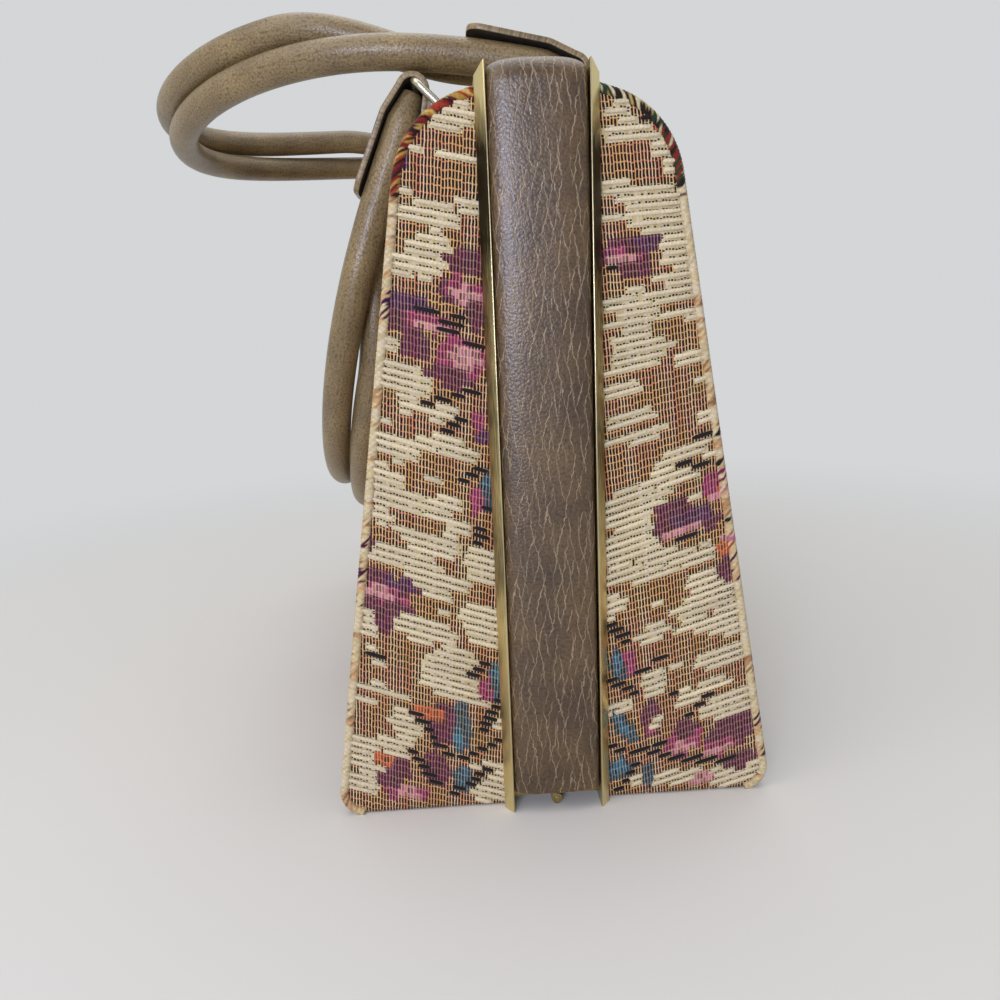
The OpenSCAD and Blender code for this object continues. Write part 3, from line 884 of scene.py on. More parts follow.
    def ground(
        self, tree: bpy.types.NodeTree, uv: bpy.types.Node, lattice: Lattice
    ) -> tuple[bpy.types.NodeSocket, bpy.types.Node]:
        """Colour the open weave: warps soaked with the weft's dye, slots and the cross threads between them.

        Args:
            tree: The material's node tree.
            uv: The cloth map.
            lattice: Where the threads are.

        Returns:
            The colour and the height of the surface.
        """
        weft = add_node(tree, "ShaderNodeAttribute", attribute_name="weft")
        dye, cover = weft.outputs["Color"], weft.outputs["Alpha"]
        warps = add_node(tree, "ShaderNodeValToRGB", {0: lattice.jitter}, stops=self.warps)
        cloud = add_node(tree, "ShaderNodeTexNoise", {"Vector": uv, "Scale": self.cloud_scale, "Detail": 3.0})
        cross = add_node(tree, "ShaderNodeValToRGB", {0: cloud}, stops=self.crosses)
        low, high = self.gilt_clouds
        gild = add_node(tree, "ShaderNodeMapRange", {0: cloud, 1: low, 2: high, 3: 0.0, 4: self.gilt_share})
        gilded = add_node(tree, "ShaderNodeMix", {0: gild, 6: warps, 7: srgb(self.gilt)}, data_type="RGBA")
        soaked = add_node(tree, "ShaderNodeVectorMath", {0: dye, "Scale": self.soak_light}, operation="SCALE")
        held = add_node(tree, "ShaderNodeVectorMath", {0: soaked, 1: self.soak_limit}, operation="MINIMUM")
        soak = add_node(tree, "ShaderNodeMath", {0: cover, 1: self.soak}, operation="MULTIPLY")
        stained = add_node(tree, "ShaderNodeMix", {0: soak, 6: gilded.outputs[2], 7: held}, data_type="RGBA")
        low, high = self.slot_light
        light = add_node(tree, "ShaderNodeMapRange", {0: lattice.chance, 3: low, 4: high})
        slot = add_node(tree, "ShaderNodeVectorMath", {0: dye, "Scale": light.outputs[0]}, operation="SCALE")
        lit = add_node(tree, "ShaderNodeVectorMath", {0: dye, "Scale": self.bar_light}, operation="SCALE")
        crossing = add_node(tree, "ShaderNodeMix", {0: cover, 6: cross, 7: lit}, data_type="RGBA")
        gaps = add_node(
            tree, "ShaderNodeMix", {0: lattice.bar, 6: slot, 7: crossing.outputs[2]}, data_type="RGBA"
        )
        low, high = (0.5 - self.slot_share / 2 + edge for edge in self.cover_edge)
        open_row = add_node(tree, "ShaderNodeMapRange", {0: lattice.off_row, 1: low, 2: high})
        covered = add_node(tree, "ShaderNodeMath", {0: cover, 1: open_row}, operation="MULTIPLY")
        buried = add_node(tree, "ShaderNodeMath", {0: covered, 1: self.burial}, operation="MULTIPLY")
        shown = add_node(tree, "ShaderNodeMath", {0: 1.0, 1: buried}, operation="SUBTRACT")
        over = add_node(tree, "ShaderNodeMath", {0: lattice.warp, 1: shown}, operation="MULTIPLY")
        colour = add_node(
            tree, "ShaderNodeMix", {0: over, 6: gaps.outputs[2], 7: stained.outputs[2]}, data_type="RGBA"
        )
        filled = add_node(tree, "ShaderNodeMath", {0: lattice.bar, 1: covered}, operation="MAXIMUM")
        height = add_node(tree, "ShaderNodeMath", {0: lattice.warp, 1: filled}, operation="MAXIMUM")
        return colour.outputs[2], height

    def cream_ground(self, tree: bpy.types.NodeTree, lattice: Lattice) -> bpy.types.NodeSocket:
        """Colour the ground under cream floats: pale threads, with a dotted row of holes beside each pick.

        Args:
            tree: The material's node tree.
            lattice: Where the threads are.

        Returns:
            The colour.
        """
        edges = [
            add_node(tree, "ShaderNodeMapRange", {0: off, 1: start, 2: end})
            for off, (start, end) in (
                (lattice.off_row, self.hole_up),
                (lattice.off_row, self.pick_edge),
                (lattice.off_warp, self.hole_across),
            )
        ]
        opened = {0: lattice.chance, 1: self.closed_share}
        painted_hole_shade = add_node(tree, "ShaderNodeMath", opened, operation="GREATER_THAN")
        for edge in edges:
            painted_hole_shade = add_node(tree, "ShaderNodeMath", {0: painted_hole_shade, 1: edge}, operation="MULTIPLY")
        pale = add_node(tree, "ShaderNodeValToRGB", {0: lattice.jitter}, stops=self.creams)
        # Painted shade: the holes beside the picks are coloured dark.
        return add_node(
            tree, "ShaderNodeMix", {0: painted_hole_shade, 6: pale, 7: srgb(self.painted_hole_shade)}, data_type="RGBA"
        ).outputs[2]


@dataclass(frozen=True)
class SpunYarn:
    """Two-ply cotton: matte, with the slanting plies just showing. Serves the floats and the welt."""

    name: str
    ply: float
    strength: float
    fuzz: float = 0.6
    fuzz_light: tuple[float, float] = (0.86, 1.06)
    painted_groove_shade: float = 0.22
    relief: float = 0.12

    def build(self) -> bpy.types.Material:
        """Make the material. Its colour is the dye attribute, and its plies follow the thread map."""
        material, shader = new_material(
            self.name, {"Roughness": 0.85, "Sheen Weight": 0.15, "Specular IOR Level": 0.2}
        )
        tree = material.node_tree
        dye = add_node(tree, "ShaderNodeAttribute", attribute_name="dye")
        length = add_node(tree, "ShaderNodeAttribute", attribute_name="length").outputs["Fac"]
        uv = add_node(tree, "ShaderNodeUVMap", uv_map="thread")
        place = add_node(tree, "ShaderNodeSeparateXYZ", {0: uv})
        along = add_node(tree, "ShaderNodeMath", {0: place, 1: length}, operation="MULTIPLY")
        turns = add_node(
            tree, "ShaderNodeMath", {0: along, 1: 1 / self.ply, 2: place.outputs[1]}, operation="MULTIPLY_ADD"
        )
        angle = add_node(tree, "ShaderNodeMath", {0: turns, 1: math.tau}, operation="MULTIPLY")
        wave = add_node(tree, "ShaderNodeMath", {0: angle}, operation="SINE")
        where = add_node(tree, "ShaderNodeTexCoord").outputs["Object"]
        fuzz = add_node(
            tree, "ShaderNodeTexNoise", {"Vector": where, "Scale": 1 / (self.fuzz * MM), "Detail": 2.0}
        )
        # Painted shade: the grooves between the plies are darkened.
        deepest = 1 - self.painted_groove_shade * self.strength
        shade = add_node(tree, "ShaderNodeMapRange", {0: wave, 1: -1.0, 2: 1.0, 3: deepest, 4: 1.0})
        low, high = self.fuzz_light
        speck = add_node(tree, "ShaderNodeMapRange", {0: fuzz, 1: 0.3, 2: 0.7, 3: low, 4: high})
        both = add_node(tree, "ShaderNodeMath", {0: shade, 1: speck}, operation="MULTIPLY")
        colour = add_node(tree, "ShaderNodeVectorMath", {0: dye, 1: both}, operation="MULTIPLY")
        bump = add_node(
            tree, "ShaderNodeBump", {"Strength": self.strength, "Distance": self.relief * MM, "Height": wave}
        )
        feed(shader, {"Base Color": colour, "Normal": bump})
        return material


class Grain(Enum):
    """Where a leather's grain lies: on the piece's own map, or in space."""

    MAP = "map"
    SPACE = "space"


@dataclass(frozen=True)
class GrainedLeather:
    """Drum-dyed cowhide: a pebbled grain with a soft gloss, under long leaning creases that have worn pale.

    Two sets of creases lean against each other, so that they close into long diamonds. Lengths are in
    millimetres, and scales are one over a length.
    """

    name: str
    grain: Grain
    base: str
    dark: str
    vein: str
    spacing: float
    vein_share: float
    vein_width: float
    pebble: float
    roughness: float
    depth: float
    shine: float = 0.5
    crinkle: float = 1.6
    crinkle_scale: float = 0.55
    leans: tuple[float, float] = (0.16, -0.22)
    lean_shift: tuple[float, float] = (90.0, 40.0)
    bend_share: float = 1.2
    bend_scale: tuple[float, float, float] = (0.13, 0.1, 0.13)
    break_scale: tuple[float, float, float] = (0.35, 0.06, 0.35)
    break_edge: tuple[float, float] = (0.42, 0.56)
    pore_scale: float = 1.6
    cloud_scale: float = 0.05
    hollow_light: tuple[float, float] = (1.3, 0.6)
    gloss_range: tuple[float, float] = (-0.07, 0.1)
    pebble_height: float = 1.2
    pore_height: float = 0.7

    def surface(self, tree: bpy.types.NodeTree) -> bpy.types.Node:
        """Give the place on the leather in millimetres.

        Args:
            tree: The material's node tree.

        Returns:
            Vector of across, along and zero, or of the place in space.
        """
        if self.grain is Grain.MAP:
            return add_node(tree, "ShaderNodeUVMap", uv_map="leather")
        where = add_node(tree, "ShaderNodeTexCoord").outputs["Object"]
        return add_node(tree, "ShaderNodeVectorMath", {0: where, "Scale": 1 / MM}, operation="SCALE")

    def crease(self, tree: bpy.types.NodeTree, where: bpy.types.Node, lean: float) -> bpy.types.Node:
        """Draw one set of wavy creases.

        Args:
            tree: The material's node tree.
            where: Place on the leather.
            lean: How far the creases move across for each millimetre along.

        Returns:
            1 on a crease that has worn, falling to 0 beside it and where it is whole.
        """
        place = add_node(tree, "ShaderNodeSeparateXYZ", {0: where})
        shift = (self.lean_shift[0] * lean, self.lean_shift[1], 0.0)
        shifted = add_node(tree, "ShaderNodeVectorMath", {0: where, 1: shift}, operation="ADD")
        broad = add_node(tree, "ShaderNodeMapping", {"Vector": shifted, "Scale": self.bend_scale})
        bend = add_node(tree, "ShaderNodeTexNoise", {"Vector": broad, "Scale": 1.0, "Detail": 5.0})
        long = add_node(tree, "ShaderNodeMapping", {"Vector": shifted, "Scale": self.break_scale})
        breaks = add_node(tree, "ShaderNodeTexNoise", {"Vector": long, "Scale": 1.0, "Detail": 2.0})
        fine = add_node(
            tree, "ShaderNodeTexNoise", {"Vector": shifted, "Scale": self.crinkle_scale, "Detail": 3.0}
        )
        line = place
        for noise, reach in (
            (place.outputs[1], lean), (bend, self.bend_share * self.spacing), (fine, self.crinkle)
        ):
            line = add_node(tree, "ShaderNodeMath", {0: noise, 1: reach, 2: line}, operation="MULTIPLY_ADD")
        off = add_node(tree, "ShaderNodeMath", {0: line, 1: self.spacing / 2}, operation="PINGPONG")
        drawn = add_node(
            tree,
            "ShaderNodeMapRange",
            {0: off, 1: 0.3 * self.vein_width, 2: self.vein_width, 3: 1.0, 4: 0.0},
            interpolation_type="SMOOTHSTEP",
        )
        low, high = self.break_edge
        worn = add_node(tree, "ShaderNodeMapRange", {0: breaks, 1: low, 2: high})
        return add_node(tree, "ShaderNodeMath", {0: drawn, 1: worn}, operation="MULTIPLY")

    def build(self) -> bpy.types.Material:
        """Make the material."""
        material, shader = new_material(self.name, {"Specular IOR Level": self.shine})
        tree = material.node_tree
        where = self.surface(tree)
        first, second = (self.crease(tree, where, lean) for lean in self.leans)
        crease = add_node(tree, "ShaderNodeMath", {0: first, 1: second}, operation="MAXIMUM")
        flat = "3D" if self.grain is Grain.SPACE else "2D"
        pebbles = add_node(
            tree, "ShaderNodeTexVoronoi", {"Vector": where, "Scale": 1 / self.pebble},
            feature="SMOOTH_F1", voronoi_dimensions=flat,
        )
        pores = add_node(
            tree, "ShaderNodeTexNoise", {"Vector": where, "Scale": self.pore_scale, "Detail": 3.0}
        )
        cloud = add_node(
            tree, "ShaderNodeTexNoise", {"Vector": where, "Scale": self.cloud_scale, "Detail": 3.0}
        )
        mottle = add_node(
            tree, "ShaderNodeValToRGB", {0: cloud}, stops=[(0.36, self.dark), (0.64, self.base)]
        )
        # Painted highlight and shade: pebble crowns are lightened and the hollows between them darkened.
        high, low = self.hollow_light
        pebble_light_and_shade = add_node(tree, "ShaderNodeMapRange", {0: pebbles, 1: 0.15, 2: 0.75, 3: high, 4: low})
        pebble_shaded = add_node(tree, "ShaderNodeVectorMath", {0: mottle, "Scale": pebble_light_and_shade}, operation="SCALE")
        share = add_node(tree, "ShaderNodeMath", {0: crease, 1: self.vein_share}, operation="MULTIPLY")
        colour = add_node(tree, "ShaderNodeMix", {0: share, 6: pebble_shaded, 7: srgb(self.vein)}, data_type="RGBA")
        glossy, dull = (self.roughness + change for change in self.gloss_range)
        gloss = add_node(tree, "ShaderNodeMapRange", {0: pores, 1: 0.3, 2: 0.7, 3: glossy, 4: dull})
        height = crease
        for bumps, rise in ((pebbles, self.pebble_height), (pores, self.pore_height)):
            height = add_node(
                tree, "ShaderNodeMath", {0: bumps, 1: rise, 2: height}, operation="MULTIPLY_ADD"
            )
        bump = add_node(
            tree, "ShaderNodeBump", {"Strength": 0.8, "Distance": self.depth * MM, "Height": height},
            invert=True,
        )
        feed(shader, {"Base Color": colour.outputs[2], "Roughness": gloss, "Normal": bump})
        return material


@dataclass(frozen=True)
class AgedBrass:
    """Rolled brass under old lacquer: a dull olive gold with brown tarnish and fine scratches.

    Between the two darkening heights it goes from bright metal to darker metal, and over the highlight
    heights a painted highlight makes it bright again. Nearer the bag's middle plane than the edge a pale rim
    is painted on as a highlight.
    """

    name: str
    bright: str
    tarnish: str
    roughness: float
    tone_and_highlight: float = 0.1
    edge: float = 0.0
    edge_blur: float = 0.05
    # Pale colour of the rim: a painted highlight.
    rim_highlight: str = "#b9ad88"
    cloud: float = 60.0
    scratch: tuple[float, float, float] = (6.0, 0.25, 6.0)
    scratch_share: float = 0.5
    scratch_depth: float = 0.05
    gloss_range: tuple[float, float] = (0.12, -0.06)
    darkening_heights: tuple[float, float] = (40.0, 190.0)
    highlight_heights: tuple[float, float] = (205.0, 228.0)

    def build(self) -> bpy.types.Material:
        """Make the material."""
        material, shader = new_material(self.name, {"Metallic": 1.0})
        tree = material.node_tree
        where = add_node(tree, "ShaderNodeTexCoord").outputs["Object"]
        cloud = add_node(
            tree, "ShaderNodeTexNoise", {"Vector": where, "Scale": 1 / (self.cloud * MM), "Detail": 3.0}
        )
        fine = tuple(1 / (length * MM) for length in self.scratch)
        drawn = add_node(tree, "ShaderNodeMapping", {"Vector": where, "Scale": fine})
        scratches = add_node(tree, "ShaderNodeTexNoise", {"Vector": drawn, "Scale": 1.0, "Detail": 3.0})
        mixed = add_node(
            tree, "ShaderNodeMath", {0: scratches, 1: self.scratch_share, 2: cloud}, operation="MULTIPLY_ADD"
        )
        parts = add_node(tree, "ShaderNodeSeparateXYZ", {0: where})
        tarnish_and_highlight = mixed
        # Darker towards the top of the first span; over the highlight heights a painted highlight brightens
        # it again.
        for (low, high), (start, end) in (
            (self.darkening_heights, (self.tone_and_highlight, -self.tone_and_highlight)), (self.highlight_heights, (0.0, 2 * self.tone_and_highlight))
        ):
            change = {0: parts.outputs[2], 1: low * MM, 2: high * MM, 3: start, 4: end}
            worn = add_node(tree, "ShaderNodeMapRange", change)
            tarnish_and_highlight = add_node(tree, "ShaderNodeMath", {0: tarnish_and_highlight, 1: worn}, operation="ADD")
        metal = add_node(
            tree, "ShaderNodeValToRGB", {0: tarnish_and_highlight}, stops=[(0.52, self.tarnish), (0.92, self.bright)]
        )
        # Painted highlight: a pale rim on the metal nearer the middle plane than the edge.
        depth = add_node(tree, "ShaderNodeMath", {0: parts.outputs[1]}, operation="ABSOLUTE")
        outer, inner = ((self.edge + blur) * MM for blur in (self.edge_blur, -self.edge_blur))
        rim = add_node(tree, "ShaderNodeMapRange", {0: depth, 1: outer, 2: inner})
        colour = add_node(tree, "ShaderNodeMix", {0: rim, 6: metal, 7: srgb(self.rim_highlight)}, data_type="RGBA")
        dull, glossy = (self.roughness + change for change in self.gloss_range)
        gloss = add_node(tree, "ShaderNodeMapRange", {0: mixed, 1: 0.5, 2: 1.0, 3: dull, 4: glossy})
        bump = add_node(
            tree, "ShaderNodeBump",
            {"Strength": 0.2, "Distance": self.scratch_depth * MM, "Height": scratches},
        )
        feed(shader, {"Base Color": colour.outputs[2], "Roughness": gloss, "Normal": bump})
        return material


@dataclass(frozen=True)
class PlainCloth:
    """Plain-woven cotton: matte, with a fine crossing of threads."""

    name: str
    base: str
    shade: str
    pitch: float
    cloud: float = 20.0
    cloud_share: float = 0.6
    relief: float = 0.1

    def build(self) -> bpy.types.Material:
        """Make the material. Threads are drawn coarser than real ones so that they show."""
        material, shader = new_material(self.name, {"Roughness": 0.75, "Sheen Weight": 0.3})
        tree = material.node_tree
        where = add_node(tree, "ShaderNodeTexCoord").outputs["Object"]
        wave = {"Vector": where, "Scale": math.tau / WAVE_RATE / (self.pitch * MM), "Distortion": 0.6}
        across, up = (
            add_node(tree, "ShaderNodeTexWave", wave, bands_direction=axis).outputs["Fac"] for axis in "XZ"
        )
        weave = add_node(tree, "ShaderNodeMath", {0: across, 1: up}, operation="MULTIPLY")
        cloud = add_node(
            tree, "ShaderNodeTexNoise", {"Vector": where, "Scale": 1 / (self.cloud * MM), "Detail": 3.0}
        )
        mixed = add_node(
            tree, "ShaderNodeMath", {0: cloud, 1: self.cloud_share, 2: weave}, operation="MULTIPLY_ADD"
        )
        # Painted shade: the gaps between the threads are darkened, under a cloud of random tone.
        colour = add_node(tree, "ShaderNodeValToRGB", {0: mixed}, stops=[(0.2, self.shade), (0.9, self.base)])
        bump = add_node(
            tree, "ShaderNodeBump", {"Strength": 0.4, "Distance": self.relief * MM, "Height": weave}
        )
        feed(shader, {"Base Color": colour, "Normal": bump})
        return material


@dataclass
class Finishes:
    """All materials of the bag, made once. The edge is how far out the mouldings' painted rim highlight
    reaches.
    """

    weave: Weave
    edge: float

    def __post_init__(self) -> None:
        """Make every material."""
        self.ground = TapestryGround(self.weave).build()
        self.yarn = SpunYarn("float_yarn", ply=1.3, strength=0.35).build()
        self.welt = SpunYarn("welt_yarn", ply=1.2, strength=0.5).build()
        self.band = GrainedLeather(
            "band_leather", Grain.MAP, base="#5a4326", dark="#412e19", vein="#b09a78", spacing=2.8,
            vein_share=0.52, vein_width=0.22, pebble=0.85, roughness=0.34, depth=0.09, shine=0.68,
        ).build()
        self.cord = GrainedLeather(
            "handle_leather", Grain.MAP, base="#88744f", dark="#6e5c3f", vein="#a89474", spacing=2.6,
            vein_share=0.3, vein_width=0.16, pebble=0.75, roughness=0.32, depth=0.08,
        ).build()
        self.flesh = GrainedLeather(
            "leather_flesh_side", Grain.SPACE, base="#3a322b", dark="#2a241f", vein="#463c33", spacing=2.0,
            vein_share=0.1, vein_width=0.1, pebble=0.6, roughness=0.85, depth=0.1,
        ).build()
        self.brass = AgedBrass("aged_brass", bright="#b8a56c", tarnish="#6a5d3c", roughness=0.3).build()
        self.moulding = AgedBrass(
            "moulding_brass", bright="#e2d098", tarnish="#3a3527", roughness=0.3, tone_and_highlight=0.32, edge=self.edge
        ).build()
        self.wire = AgedBrass("ring_wire", bright="#c2bba8", tarnish="#8d8574", roughness=0.25).build()
        self.lining = PlainCloth("lining_cotton", "#8d7a5c", "#6f5d43", 0.9).build()


def float_tree() -> bpy.types.NodeTree:
    """Make the node tree that lays a thread on every point, along and out of the cloth as the point says.

    Returns:
        The node group, with the thread and its finish as named inputs.
    """
    tree = bpy.data.node_groups.new("lay_floats", "GeometryNodeTree")
    for name, kind in (("Points", "Geometry"), ("Thread", "Object"), ("Finish", "Material")):
        tree.interface.new_socket(name, in_out="INPUT", socket_type=f"NodeSocket{kind}")
    tree.interface.new_socket("Threads", in_out="OUTPUT", socket_type="NodeSocketGeometry")
    start = add_node(tree, "NodeGroupInput")
    shape = add_node(tree, "GeometryNodeObjectInfo", {"Object": start.outputs["Thread"], "As Instance": True})
    along, out, length = (
        add_node(tree, "GeometryNodeInputNamedAttribute", {"Name": name}, data_type=kind)
        for name, kind in (("along", "FLOAT_VECTOR"), ("out", "FLOAT_VECTOR"), ("length", "FLOAT"))
    )
    turn = add_node(
        tree, "FunctionNodeAxesToRotation", {0: out, 1: along}, primary_axis="Z", secondary_axis="X"
    )
    size = add_node(tree, "ShaderNodeCombineXYZ", {0: length, 1: 1.0, 2: 1.0})
    laid = add_node(
        tree,
        "GeometryNodeInstanceOnPoints",
        {
            "Points": start.outputs["Points"],
            "Instance": shape.outputs["Geometry"],
            "Rotation": turn,
            "Scale": size,
        },
    )
    real = add_node(tree, "GeometryNodeRealizeInstances", {0: laid})
    dressed = add_node(
        tree, "GeometryNodeSetMaterial", {"Geometry": real, "Material": start.outputs["Finish"]}
    )
    add_node(tree, "NodeGroupOutput", {0: dressed})
    return tree


@dataclass(frozen=True)
class Spot:
    """Where a float lies: its middle, the ways along it and out of the cloth, its length and its dye."""

    place: tuple[float, float, float]
    along: tuple[float, float, float]
    out: tuple[float, float, float]
    length: float
    dye: int


@dataclass(frozen=True)
class PanelCloth:
    """How the cloth lies on an end panel: warps lean with the side, and rows climb away from the mouth.

    Before it is cut, the cloth spans the given places across and the given rows, counted from the base.
    """

    mouth: float
    low_climb: float
    top_climb: float
    climb_heights: tuple[float, float] = (100.0, 200.0)
    lean: float = 4.5
    cell: float = 1.0
    across: tuple[float, float] = (8.0, 84.0)
    rows: tuple[int, int] = (-12, 100)
    rounds: int = 12

    def climb(self, v: np.ndarray) -> np.ndarray:
        """Give the slope of the row that meets the mouth at a height."""
        low, high = self.climb_heights
        share = smooth_step((np.asarray(v) - low) / (high - low))
        return np.tan(np.radians(self.low_climb + (self.top_climb - self.low_climb) * share))

    def place(self, u: np.ndarray, v: np.ndarray) -> np.ndarray:
        """Turn cloth coordinates into depth and height."""
        slope = self.climb(v)
        c, s = math.cos(math.radians(self.lean)), math.sin(math.radians(self.lean))
        depth = (u - s * (v - self.mouth * slope)) / (c + s * slope)
        return np.stack([depth, v + (depth - self.mouth) * slope], -1)

    def read(self, depth: np.ndarray, height: np.ndarray) -> tuple[np.ndarray, np.ndarray]:
        """Turn depth and height back into cloth coordinates."""
        v = height
        for _ in range(self.rounds):
            v = height - (depth - self.mouth) * self.climb(v)
        slope = self.climb(v)
        c, s = math.cos(math.radians(self.lean)), math.sin(math.radians(self.lean))
        return depth * (c + s * slope) + s * (v - self.mouth * slope), v


@dataclass
class CoverHalf:
    """Tapestry over the card shell of one half, with its floats and the welts round its end panels."""

    side: int
    profile: HalfProfile
    half_length: float
    weave: Weave
    finishes: Finishes
    climbs: tuple[float, float]
    face_cell: float = 2.0
    face_repeat: tuple[float, float] = (46.0, 58.0)
    face_counts: tuple[int, int] = (6, 5)
    face_start: float = 26.0
    face_end: float = 30.0
    face_sway: float = 6.0
    sink: float = 0.5
    panel_sink: float = 0.2
    card: float = 2.2
    bulge: float = 1.1
    seam: float = 0.5
    outline_step: float = 0.5
    float_lift: float = 0.25
    float_margin: float = 0.6
    float_ends: float = 0.4
    float_cuts: float = 5.0
    float_sway: float = 0.08
    float_shade: float = 0.06
    float_shades: tuple[float, float] = (0.84, 1.12)
    float_sides: int = 6
    float_flatness: float = 0.72
    welt_radius: float = 1.5
    welt_relief: float = 0.05
    welt_step: float = 0.8
    welt_bright: float = 38.0
    welt_fade: float = 8.0
    welt_inset: float = 2.0
    welt_strands: int = 8
    welt_run: float = 3.4
    welt_stagger: float = 0.37
    welt_sides: int = 16
    welt_pitch: float = 9.0
    welt_cover: float = 0.3
    welt_threads: tuple[str, ...] = ("#d9c495", "#b98d62", "#cfa878", "#c9b68a", "#94704c")

    def __post_init__(self) -> None:
        """Fit the end panels' cloth to the profile."""
        low, top = self.climbs
        self.cloth = PanelCloth(self.profile.mouth, low, top)
        self.rng = np.random.default_rng(self.weave.seed + self.side)

    @property
    def name(self) -> str:
        """Which half this is."""
        return HALF_NAMES[self.side]

    def build(self) -> None:
        """Make the cover, its floats and its welts, and put them on the half's body."""
        sheets = [self.face_sheet()] + [self.end_sheet(end) for end in END_NAMES]
        self.cover([sheet[0] for sheet in sheets])
        self.lay_floats([spot for sheet in sheets for spot in sheet[1]])
        for end in END_NAMES:
            self.welt(end)

    def face_sheet(self) -> tuple[tuple, list[Spot]]:
        """Lay cloth over the face, from the mouth over the shoulder and down to the base.

        Returns:
            Vertices, cloth coordinates, faces, dyes and float dyes of the sheet, and the floats on it.
        """
        line = resample(self.profile.outline(self.sink), self.weave.row)
        reach = self.half_length - self.seam
        across = np.linspace(-reach, reach, round(2 * reach / self.face_cell) + 1)
        n, m = len(line), len(across)
        x, i = np.meshgrid(across, np.arange(n))
        points = np.stack([x, self.side * line[i, 0], line[i, 1]], -1).reshape(-1, 3)
        cloth = np.stack([x, -i * self.weave.row], -1).reshape(-1, 2)
        rows = -(np.arange(n - 1) + 0.5) * self.weave.row
        grid_u, grid_v = np.meshgrid((across[:-1] + across[1:]) / 2, rows)
        weft, floats = self.weave.dyes(grid_u, grid_v, self.face_motifs(n * self.weave.row))
        tangent = unit(np.gradient(line, axis=0))
        spots = []
        for at, row, length, dye in self.threads(floats, across, rows):
            depth, height, run, rise = (
                np.interp(-row / self.weave.row, np.arange(n), table)
                for table in (line[:, 0], line[:, 1], tangent[:, 0], tangent[:, 1])
            )
            out = (0, -self.side * rise, run)
            spots.append(Spot((at, self.side * depth, height), (1, 0, 0), out, length, dye))
        return (points, cloth, grid_faces(n, m), weft.ravel(), floats.ravel()), spots

    def face_motifs(self, length: float) -> list[Placing]:
        """Spread the motifs over the big face in a half-drop repeat.

        Args:
            length: Length of the cloth from mouth to mouth.

        Returns:
            Motifs in their places.
        """
        motifs = [FLOWER, LEAVES, BLOOM, VINE, PANSY, SPRIG]
        wide, tall = self.face_repeat
        columns, rows = self.face_counts
        made = []
        for i in range(columns):
            for j in range(rows):
                down = self.face_start + tall * j + (tall / 2 if i % 2 else 0)
                if down < length - self.face_end:
                    across = (i - (columns - 1) / 2) * wide + self.face_sway * (-1) ** j
                    motif = motifs[(2 * i + 3 * j) % len(motifs)]
                    made.append(Placing(motif, across, -down, bool((i + j) % 2)))
        return made

    def swell(self, depth: np.ndarray, height: np.ndarray) -> np.ndarray:
        """Tell how far the padded end panel stands out at a place."""
        share = (depth - self.profile.mouth) / np.maximum(self.profile.edge(height) - self.profile.mouth, 1)
        rise = np.clip(height / self.profile.rim, 0, 1)
        puff = np.sin(np.pi * np.clip(share, 0, 1)) * np.sin(np.pi * rise) ** 0.5
        return self.half_length - self.panel_sink + self.bulge * puff

    def end_sheet(self, end: int) -> tuple[tuple, list[Spot]]:
        """Cut cloth to the outline of an end panel.

        Args:
            end: LEFT or RIGHT.

        Returns:
            Vertices, cloth coordinates, faces, dyes and float dyes of the sheet, and the floats on it.
        """
        cloth, step = self.cloth, self.cloth.cell
        u = np.arange(*cloth.across, step)
        v = np.arange(*cloth.rows) * self.weave.row
        grid = np.stack(np.meshgrid(u, v), -1)
        flat = cloth.place(grid[..., 0], grid[..., 1]).reshape(-1, 2)
        outline = self.profile.outline(self.sink)
        inside = self.inside(flat, outline)
        quads = np.array(grid_faces(len(v), len(u)))
        kept = inside[quads].any(axis=1)
        loop = resample(np.concatenate([outline, outline[:1]]), self.outline_step)
        strays = np.setdiff1d(quads[kept].ravel(), np.nonzero(inside)[0])
        flat[strays] = loop[np.linalg.norm(flat[strays, None] - loop[None], axis=2).argmin(axis=1)]
        points = np.stack([end * self.swell(flat[:, 0], flat[:, 1]), self.side * flat[:, 0], flat[:, 1]], 1)
        middle_u, middle_v = u[:-1] + step / 2, v[:-1] + self.weave.row / 2
        cell_u, cell_v = np.meshgrid(middle_u, middle_v)
        plan = PLANS[self.side * end]
        weft, floats = self.weave.dyes(cell_u, cell_v, plan.placings, plan.cream)
        margin = self.profile.outline(self.sink + self.float_margin)
        within = self.inside(cloth.place(cell_u, cell_v).reshape(-1, 2), margin)
        floats[~within.reshape(floats.shape)] = -1
        spots = []
        for at, row, length, dye in self.threads(floats, u, middle_v):
            depth, height = cloth.place(np.array(at), np.array(row))
            run, rise = unit(np.array([1.0, float(cloth.climb(row))]))
            place = (end * float(self.swell(depth, height)), self.side * depth, height)
            spots.append(Spot(place, (0, self.side * run, rise), (end, 0, 0), length / run, dye))
        sheet = (points, grid.reshape(-1, 2), quads[kept].tolist(), weft.ravel()[kept], floats.ravel()[kept])
        return sheet, spots

    @staticmethod
    def inside(places: np.ndarray, outline: np.ndarray) -> np.ndarray:
        """Tell which places of depth and height lie inside the closed outline."""
        a, b = outline, np.roll(outline, -1, axis=0)
        depth, height = places[:, :1], places[:, 1:]
        spans = (a[:, 1] > height) != (b[:, 1] > height)
        rise = np.where(b[:, 1] == a[:, 1], 1, b[:, 1] - a[:, 1])
        cut = a[:, 0] + (height - a[:, 1]) * (b[:, 0] - a[:, 0]) / rise
        return (spans & (depth < cut)).sum(axis=1) % 2 == 1

